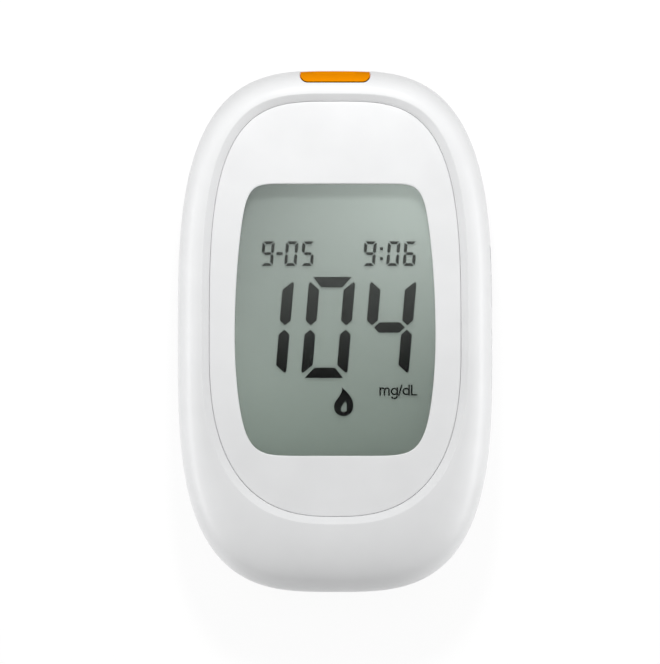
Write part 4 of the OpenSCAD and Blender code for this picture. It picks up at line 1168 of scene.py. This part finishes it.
def cut_away(bm, cuts):
    """A solid with others cut out of it, ready for more to be added."""
    piece = new_piece("solid", bm)
    combine(piece, "DIFFERENCE", cuts)
    rest = bmesh.new()
    rest.from_mesh(piece.data)
    bpy.data.objects.remove(piece)
    return rest


cover_middle = (0, (cover_y0 + cover_y1) / 2)
cover_b = (cover_y1 - cover_y0) / 2
combine(rear_shell, "DIFFERENCE", slab(bmesh.new(), cover_a + cover_gap, cover_b + cover_gap,
                                       cover_corner + cover_gap, cover_middle, flared(wall + overlap)))

shelf_a = cover_a + cover_shelf
shelf_y0 = cover_y0 - cover_shelf
shelf_y1 = cover_y1 + cover_shelf
bay = bmesh.new()
box(bay, -bay_a - bay_wall, bay_a + bay_wall, bay_y0 - bay_wall, bay_y1 + bay_wall,
    cover_seat, bay_top + bay_roof)
box(bay, -shelf_a, shelf_a, shelf_y0, shelf_y1, cover_seat, cover_seat + shelf_t)
for side in (-1, 1):
    x0, x1 = sorted((side * (cover_a + cover_gap), side * shelf_a))
    box(bay, x0, x1, shelf_y0, shelf_y1, wall / 2, cover_seat + shelf_overlap)
bay_room = bmesh.new()
box(bay_room, -bay_a, bay_a, bay_y0, bay_y1, cover_seat - 1, bay_top)
for x in (-cell_x, cell_x):
    box(bay_room, x - tail_way_a, x + tail_way_a, bay_y1 - tail_way_l, bay_y1 + gap,
        bay_top - overlap, bay_top + 2)
box(bay_room, -latch_a - latch_side, latch_a + latch_side, bay_y1 - overlap, bay_y1 + bay_wall + latch_side,
    cover_seat - 1, latch_room_z)

inner_parts = cut_away(bay, bay_room)
head_boss_r = head_hole_r + rear_boss_wall
shank_boss_r = shank_hole_r + rear_boss_wall
for x, y in screw_places:
    rod(inner_parts, x, y, [(head_boss_r, wall / 2), (head_boss_r, head_hole_top + 1)])
    rod(inner_parts, x, y, [(shank_boss_r, wall / 2), (shank_boss_r, boss_top)])
seat_a = pocket_a + seat_wall
rail_y0 = pocket_y0 - 1.1
rail_y1 = pocket_y1 + seat_wall
box(inner_parts, -seat_a, seat_a, pocket_y0 - seat_wall, rail_y1, wall / 2, seat_top)
for side in (-1, 1):
    x0, x1 = sorted((side * rail_x, side * (rail_x + rail_w)))
    box(inner_parts, x0, x1, rail_y0, rail_y1, seat_top - overlap, rail_z + rail_t)
    x0, x1 = sorted((side * (rail_x - rail_reach), side * (rail_x + gap)))
    box(inner_parts, x0, x1, rail_y0 + lip_inset, rail_y1 - lip_inset, rail_z, rail_z + rail_t - lip_inset)
box(inner_parts, -stop_a, stop_a, stop_y, stop_y + stop_t, wall / 2, spring_z + stop_rise)
pin_run = [(pin_r - pin_edge, stop_y - pin_l), (pin_r, stop_y - pin_l + pin_edge), (pin_r, stop_y + gap)]
rod(inner_parts, 0, spring_z, pin_run, along_y, 32)
combine(rear_shell, "UNION", inner_parts)

rear_cuts = bmesh.new()
for x, y in screw_places:
    rod(rear_cuts, x, y, [(head_hole_r + grow, z) for grow, z in flared(head_hole_top)])
    rod(rear_cuts, x, y, [(shank_hole_r, head_hole_top - overlap), (shank_hole_r, boss_top + 1)], sides=32)
box(rear_cuts, -port_a, port_a, port_inner + port_gap, rear_high.y + 1, parting_z, parting_z + 2)
pocket_middle = (0, (pocket_y0 + pocket_y1) / 2)
slab(rear_cuts, pocket_a, (pocket_y1 - pocket_y0) / 2, pocket_corner, pocket_middle, flared(pocket_depth))
box(rear_cuts, -neck_a - cover_gap, neck_a + cover_gap, neck_y - neck_b - end_gap,
    neck_y + neck_b + travel + end_gap, pocket_depth - overlap, seat_top + overlap)
for x in (-hook_x, hook_x):
    x0 = x - hook_a - hook_side
    x1 = x + hook_a + hook_side
    box(rear_cuts, x0, x1, cover_y0 - cover_gap, bay_y0 + overlap, cover_seat - overlap, hook_room_z)
    box(rear_cuts, x0, x1, cover_y0 - hook_reach - hook_side, cover_y0, cover_seat + gap / 2, hook_room_z)
combine(rear_shell, "DIFFERENCE", rear_cuts)
finished(rear_shell, shell_white, "meter", "housing_white", "rear_housing")


# ---- screws
# Four small zinc-plated cross-head screws, put in from the back, which hold the shells together and
# clamp the board between their bosses.

zinc = metal("zinc_plate", (0.62, 0.64, 0.67), (0.22, 0.35), 0.5)


def screw_set_tree():
    """A screw on each point of the mesh, its head down: a domed head with a cross, and a threaded shank."""
    tree, given = new_tree(
        "screw_set", head_radius=screw_head_r, head_height=1.4, head_round=0.3, cross_reach=1.1,
        cross_width=0.44, cross_depth=0.8, shank_radius=1.0, shank_length=12.5, thread_pitch=0.8,
        thread_depth=0.16)

    def blank(radius, length, steps, sides):
        solid = node(tree, "GeometryNodeMeshCylinder",
                     {"Vertices": sides, "Side Segments": steps, "Radius": radius, "Depth": length})
        return shifted(tree, solid, vector(tree, Z=length * 0.5))

    def drawn_in(solid, share):
        x, y, z = position(tree)
        factor = share(x, y, z)
        return set_position(tree, solid, X=factor * x, Y=factor * y, Z=z)

    def head_share(x, y, z):
        below = (1 - z / given["head_round"]).math("MAXIMUM", 0.0)
        inset = 1 - (1 - below * below).math("MAXIMUM", 0.0) ** 0.5
        return 1 - inset * given["head_round"] / given["head_radius"]

    def thread_share(x, y, z):
        turn = y.math("ARCTAN2", x) / math.tau
        groove = ((z / given["thread_pitch"] - turn).math("FRACT") - 0.5).math("ABSOLUTE") * 2
        return 1 - groove * given["thread_depth"] / given["shank_radius"]

    head = drawn_in(blank(given["head_radius"], given["head_height"], steps=16, sides=48), head_share)
    size = vector(tree, X=given["cross_reach"] * 2, Y=given["cross_width"], Z=given["cross_depth"] * 2)
    bar = node(tree, "GeometryNodeMeshCube", {"Size": size})
    cross = node(tree, "GeometryNodeJoinGeometry", {0: [bar, turned(tree, bar, (0, 0, math.pi / 2))]})
    slotted = node(tree, "GeometryNodeMeshBoolean",
                   {"Mesh 1": head, "Mesh 2": cross, "Self Intersection": True},
                   operation="DIFFERENCE", solver="EXACT")
    shank = drawn_in(blank(given["shank_radius"], given["shank_length"], steps=110, sides=20), thread_share)
    raised = shifted(tree, shank, vector(tree, Z=given["head_height"]))
    screw = node(tree, "GeometryNodeJoinGeometry", {0: [raised, slotted]})
    return end_tree(tree, node(tree, "GeometryNodeInstanceOnPoints",
                               {"Points": tree.nodes["Group Input"], "Instance": screw}))


screw_spots = bpy.data.meshes.new("screw_spots")
screw_spots.from_pydata([(x, y, screws_low.z) for x, y in screw_places], [], [])
case_screws = from_mesh("case_screws", made_by(screw_set_tree(), screw_spots))
finished(case_screws, zinc, "meter", "screw_steel", "housing_screws", angle=50)


# ---- battery contacts
# Bright nickel-plated sheets on the bay's end walls: one plain and one with a cone spring at the top,
# each with a tail soldered to the board, and a bridge with the second spring at the bottom.

sheet_a = 3.9
sheet_t = 0.4
sheet_corner = 0.8
sheet_edge = 0.06
sheet_z0 = 3.15
sheet_z1 = 12.5
bridge_z0 = 3.55
tail_a = 0.9
tail_inset = 0.02
tail_root = 0.4
tail_top = 15.1
cell_spring_l = 6.1
cell_spring_turns = 3.5
cone_wide = 0.66
cone_narrow = 0.4
cell_wire_r = 0.3
bump_r = 1.5
bump_h = 0.08
bump_shares = [(0.5, 1), (0.85, 0.7)]
nickel = metal("nickel_plate", (0.7, 0.69, 0.66), (0.16, 0.28), 1.5)


def coil_tree():
    """A round wire wound in a coil along +Z, then turned and put in its place."""
    tree, given = new_tree("coil", turns=4.0, points_a_turn=40, start_radius=2.0, end_radius=2.0, length=6.0,
                           wire_radius=0.15, turned=(0.0, 0.0, 0.0), place=(0.0, 0.0, 0.0))
    wire = given["wire_radius"]
    spiral = node(tree, "GeometryNodeCurveSpiral", {
        "Resolution": given["points_a_turn"], "Rotations": given["turns"],
        "Start Radius": given["start_radius"] - wire, "End Radius": given["end_radius"] - wire,
        "Height": given["length"] - wire * 2,
    })
    section = node(tree, "GeometryNodeCurvePrimitiveCircle", {"Resolution": 12, "Radius": wire})
    raised = shifted(tree, swept(tree, spiral, section), vector(tree, Z=wire))
    return end_tree(tree, shifted(tree, turned(tree, raised, given["turned"]), given["place"]))


coil = coil_tree()


def cell_spring(x, y, turned):
    """A cone spring on a sheet's face, its narrow end towards the cell."""
    return made_by(coil, turns=cell_spring_turns, start_radius=cell_r * cone_wide,
                   end_radius=cell_r * cone_narrow, length=cell_spring_l, wire_radius=cell_wire_r,
                   turned=(turned, 0.0, 0.0), place=(x, y, cell_z))


def sheet(bm, x, a, z0, z1, y):
    """A contact's sheet with round corners and softened edges."""
    stations = [(-sheet_edge, y), (0, y + sheet_edge),
                (0, y + sheet_t - sheet_edge), (-sheet_edge, y + sheet_t)]
    slab(bm, a, (z1 - z0) / 2, sheet_corner, (x, (z0 + z1) / 2), stations, along_y, 6)


upper_y = bay_y1 - gap - sheet_t
for name, x in {"battery_plus_contact": -cell_x, "battery_minus_contact": cell_x}.items():
    bm = bmesh.new()
    sheet(bm, x, sheet_a, sheet_z0, sheet_z1, upper_y)
    box(bm, x - tail_a, x + tail_a, upper_y + tail_inset, upper_y + sheet_t - tail_inset,
        sheet_z1 - tail_root, tail_top)
    if x < 0:
        bump_run = [(bump_r * wide, upper_y - bump_h * tall) for wide, tall in bump_shares]
        rod(bm, x, cell_z, [*bump_run, (bump_r, upper_y + gap / 2)], along_y, 32)
    else:
        bm.from_mesh(cell_spring(x, upper_y + gap / 2, math.pi / 2))
    finished(new_piece(name.replace("battery_", "bay_"), bm), nickel, "meter", "nickel_sheet", name, angle=50)

bridge = bmesh.new()
bridge_y = bay_y0 + gap
sheet(bridge, 0, cell_x + sheet_a, bridge_z0, sheet_z1, bridge_y)
bridge.from_mesh(cell_spring(-cell_x, bridge_y + sheet_t - gap / 2, -math.pi / 2))
finished(new_piece("bay_bridge_contact", bridge), nickel, "meter", "nickel_sheet", "battery_bridge_contact",
         angle=50)


# ---- cells
# Two size AAA cells, laid side by side and head to tail. Each is a steel can in a printed plastic
# jacket that is rolled over both ends, with a nub at its plus end.

jacket_blue = (0.035, 0.05, 0.085, 1)
jacket_silver = (0.55, 0.56, 0.58, 1)
bare_steel = (0.68, 0.68, 0.67, 1)
scuff_grey = (0.6, 0.6, 0.6, 1)
band_l = 9.5
line_w = 0.6
bare_share = 0.86
end_l = 1.3
cell_profile = [(1.5, 0), (1.8, 0.08), (1.9, 0.25), (1.9, 0.95), (2.1, 1.05), (4.3, 1.08), (4.45, 1.0),
                (4.85, 1.0), (5.15, 1.12), (5.25, 1.4), (5.25, 22), (5.25, 43.2), (5.15, 43.65),
                (4.9, 43.85), (4.55, 43.85), (4.45, 43.75), (4.3, 43.9), (4.1, 44.2), (3.7, 44.3)]


def jacket(name, nub_y, way):
    """A cell's finish, by the distance from its nub: bare steel at both ends, and a band and a line."""
    material, tree = new_material(name)
    x, y, z = parts_of(tree, object_place(tree, 1))
    far = (y - nub_y) * way
    across = x - way * cell_x
    up = z - cell_z
    inside = ((across * across + up * up) ** 0.5).math("LESS_THAN", cell_r * bare_share)
    at_end = far.math("LESS_THAN", end_l) + far.math("GREATER_THAN", cell_profile[-1][1] - end_l)
    bare = inside * at_end
    band = far.math("LESS_THAN", band_l)
    line = (far - band_l - 2 * line_w).math("ABSOLUTE").math("LESS_THAN", line_w / 2)
    silver = band.math("MAXIMUM", line)
    wear = ranged(tree, noise(tree, 0.7, 4.0), 0.0, 0.08, 0.45, 0.7)
    scuffed = blended(tree, wear, blended(tree, silver, jacket_blue, jacket_silver), scuff_grey)
    return surfaced(material, {
        "Base Color": blended(tree, bare, scuffed, bare_steel),
        "Metallic": bare.math("MAXIMUM", silver * 0.7),
        "Roughness": ranged(tree, noise(tree, 2.0, 3.0), 0.25, 0.36),
        "Normal": relief(tree, noise(tree, 1.2, 3.0), 0.004),
    })


for name, way in {"battery_left": -1, "battery_right": 1}.items():
    low, high = corners(name)
    nub_y = high.y if way < 0 else low.y
    turned_run = [(r, nub_y + way * far) for r, far in cell_profile]
    cell = new_piece(name.replace("battery", "cell"),
                     rod(bmesh.new(), way * cell_x, cell_z, turned_run, along_y, 64))
    finished(cell, jacket(f"{name}_jacket", nub_y, way), "meter", "cell_jacket", name, angle=40)


# ---- battery cover
# A white cover flush with the back: two hooks at its lower edge, a springy latch tongue at its upper
# edge, grip grooves and a moulded arrow for the thumb, and two ribs inside that steady the cells.

cover_edge = 0.3
cover_top_edge = 0.12
hook_clear = 0.2
grip_n = 4
grip_a = 4.0
grip_r = 0.35
grip_pitch = 1.5
grip_y = 13.55
arrow_y = 6.3
arrow_a = 1.6
arrow_h = 2.2
arrow_depth = 0.25
rib_x = 10.4
rib_t = 0.8
rib_corner = 0.3
rib_edge = 0.15
latch_h = 5.0
latch_t = 0.9
latch_edge = 0.2


def rod_row_tree():
    """Round bars along X, in a row that runs down Y from its place."""
    tree, given = new_tree("rod_row", count=4, pitch=1.5, half_length=4.0, radius=0.3, place=(0.0, 0.0, 0.0))
    bar = node(tree, "GeometryNodeMeshCylinder",
               {"Vertices": 32, "Radius": given["radius"], "Depth": given["half_length"] * 2})
    bars = in_row(tree, given, turned(tree, bar, (0, math.pi / 2, 0)), 0.0, given["pitch"] * -1)
    return end_tree(tree, shifted(tree, bars, given["place"]))


rod_row = rod_row_tree()

cover = slab(bmesh.new(), cover_a, cover_b, cover_corner, cover_middle,
             edge_rounding(cover_low, cover_edge, False) + edge_rounding(cover_z, cover_top_edge, True))
cover_cuts = bmesh.new()
cover_cuts.from_mesh(made_by(rod_row, count=grip_n, pitch=grip_pitch, half_length=grip_a, radius=grip_r,
                             place=(0.0, grip_y, cover_low)))
arrow = [(-arrow_a, arrow_y - arrow_h / 2), (arrow_a, arrow_y - arrow_h / 2), (0, arrow_y + arrow_h / 2)]
skin(cover_cuts, [[(x, y, z) for x, y in arrow] for z in (-1, cover_low + arrow_depth)])
cover_parts = cut_away(cover, cover_cuts)
for x in (-hook_x, hook_x):
    box(cover_parts, x - hook_a, x + hook_a, cover_y0, cover_y0 + hook_reach, cover_z - overlap, hook_top)
    box(cover_parts, x - hook_a, x + hook_a, cover_y0 - hook_reach, cover_y0 + overlap,
        cover_seat + hook_clear, hook_top)
slab(cover_parts, latch_a, latch_t / 2, latch_edge, (0, bay_y1 + latch_t / 2), [
    (0, cover_z - overlap), (0, cover_z + latch_h - latch_edge), (-latch_edge, cover_z + latch_h),
], arc=3)
for x in (-rib_x, rib_x):
    slab(cover_parts, rib_t / 2, (bay_y1 - bay_y0) / 2 - cell_spring_l, rib_corner,
         (x, (bay_y0 + bay_y1) / 2), [
             (0, cover_z - overlap), (0, cover_z + rib_t - rib_edge), (-rib_edge, cover_z + rib_t),
         ], arc=3)
cover_moulding = new_piece("battery_cover_moulding", cover_parts)
finished(cover_moulding, shell_white, "cover", "housing_white", "battery_cover")


# ---- ejector
# An orange thumb piece slides in a pocket of the back. It is pinned to a pale carriage inside, whose
# post pushes the used strip out, and a fine coil spring brings both back.

thumb_a = 5.1
thumb_b = 4.3
thumb_corner = 0.6
thumb_z0 = 0.25
thumb_z1 = 1.5
thumb_edge = 0.25
thumb_top_edge = 0.08
neck_root = 0.4
neck_corner = 0.3
thumb_n = 5
thumb_pitch = 1.4
groove_r = 0.3
groove_in = 1.0
return_turns = 4.0
return_r = 1.9
return_wire_r = 0.15

thumb = slab(bmesh.new(), thumb_a, thumb_b, thumb_corner, (0, neck_y),
             edge_rounding(thumb_z0, thumb_edge, False) + edge_rounding(thumb_z1, thumb_top_edge, True))
grooves = bmesh.new()
grooves.from_mesh(made_by(rod_row, count=thumb_n, pitch=thumb_pitch, half_length=thumb_a - groove_in,
                          radius=groove_r, place=(0.0, neck_y + 2 * thumb_pitch, thumb_z0)))
thumb_parts = cut_away(thumb, grooves)
neck_run = [(0, thumb_z1 - neck_root), (0, corners("ejector_slider")[1].z)]
slab(thumb_parts, neck_a, neck_b, neck_corner, (0, neck_y), neck_run, arc=3)
thumb_orange = moulded("thumb_orange", (0.9, 0.3, 0.008), 0.97, (0.34, 0.44), 0.3, 0.004, 3.0)
thumb_moulding = new_piece("ejector_thumb_piece", thumb_parts)
finished(thumb_moulding, thumb_orange, "ejector", "orange_plastic", "ejector_slider")

dress("ejector_pusher", moulded("carriage_pale", (0.68, 0.68, 0.65), 0.94, (0.4, 0.5), 0.4, 0.004, 3.0))

spring_low, spring_high = corners("ejector_spring")
spring_l = spring_high.y - spring_low.y
return_spring = from_mesh("ejector_return_spring", made_by(
    coil, turns=return_turns, start_radius=return_r, end_radius=return_r, length=spring_l,
    wire_radius=return_wire_r, turned=(-math.pi / 2, 0.0, 0.0), place=(0.0, spring_low.y, spring_z)))
spring_bright = metal("spring_bright", (0.6, 0.6, 0.62), (0.18, 0.28), 0.4)
finished(return_spring, spring_bright, "meter", "spring_steel", "ejector_spring", angle=60)
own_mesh(return_spring)
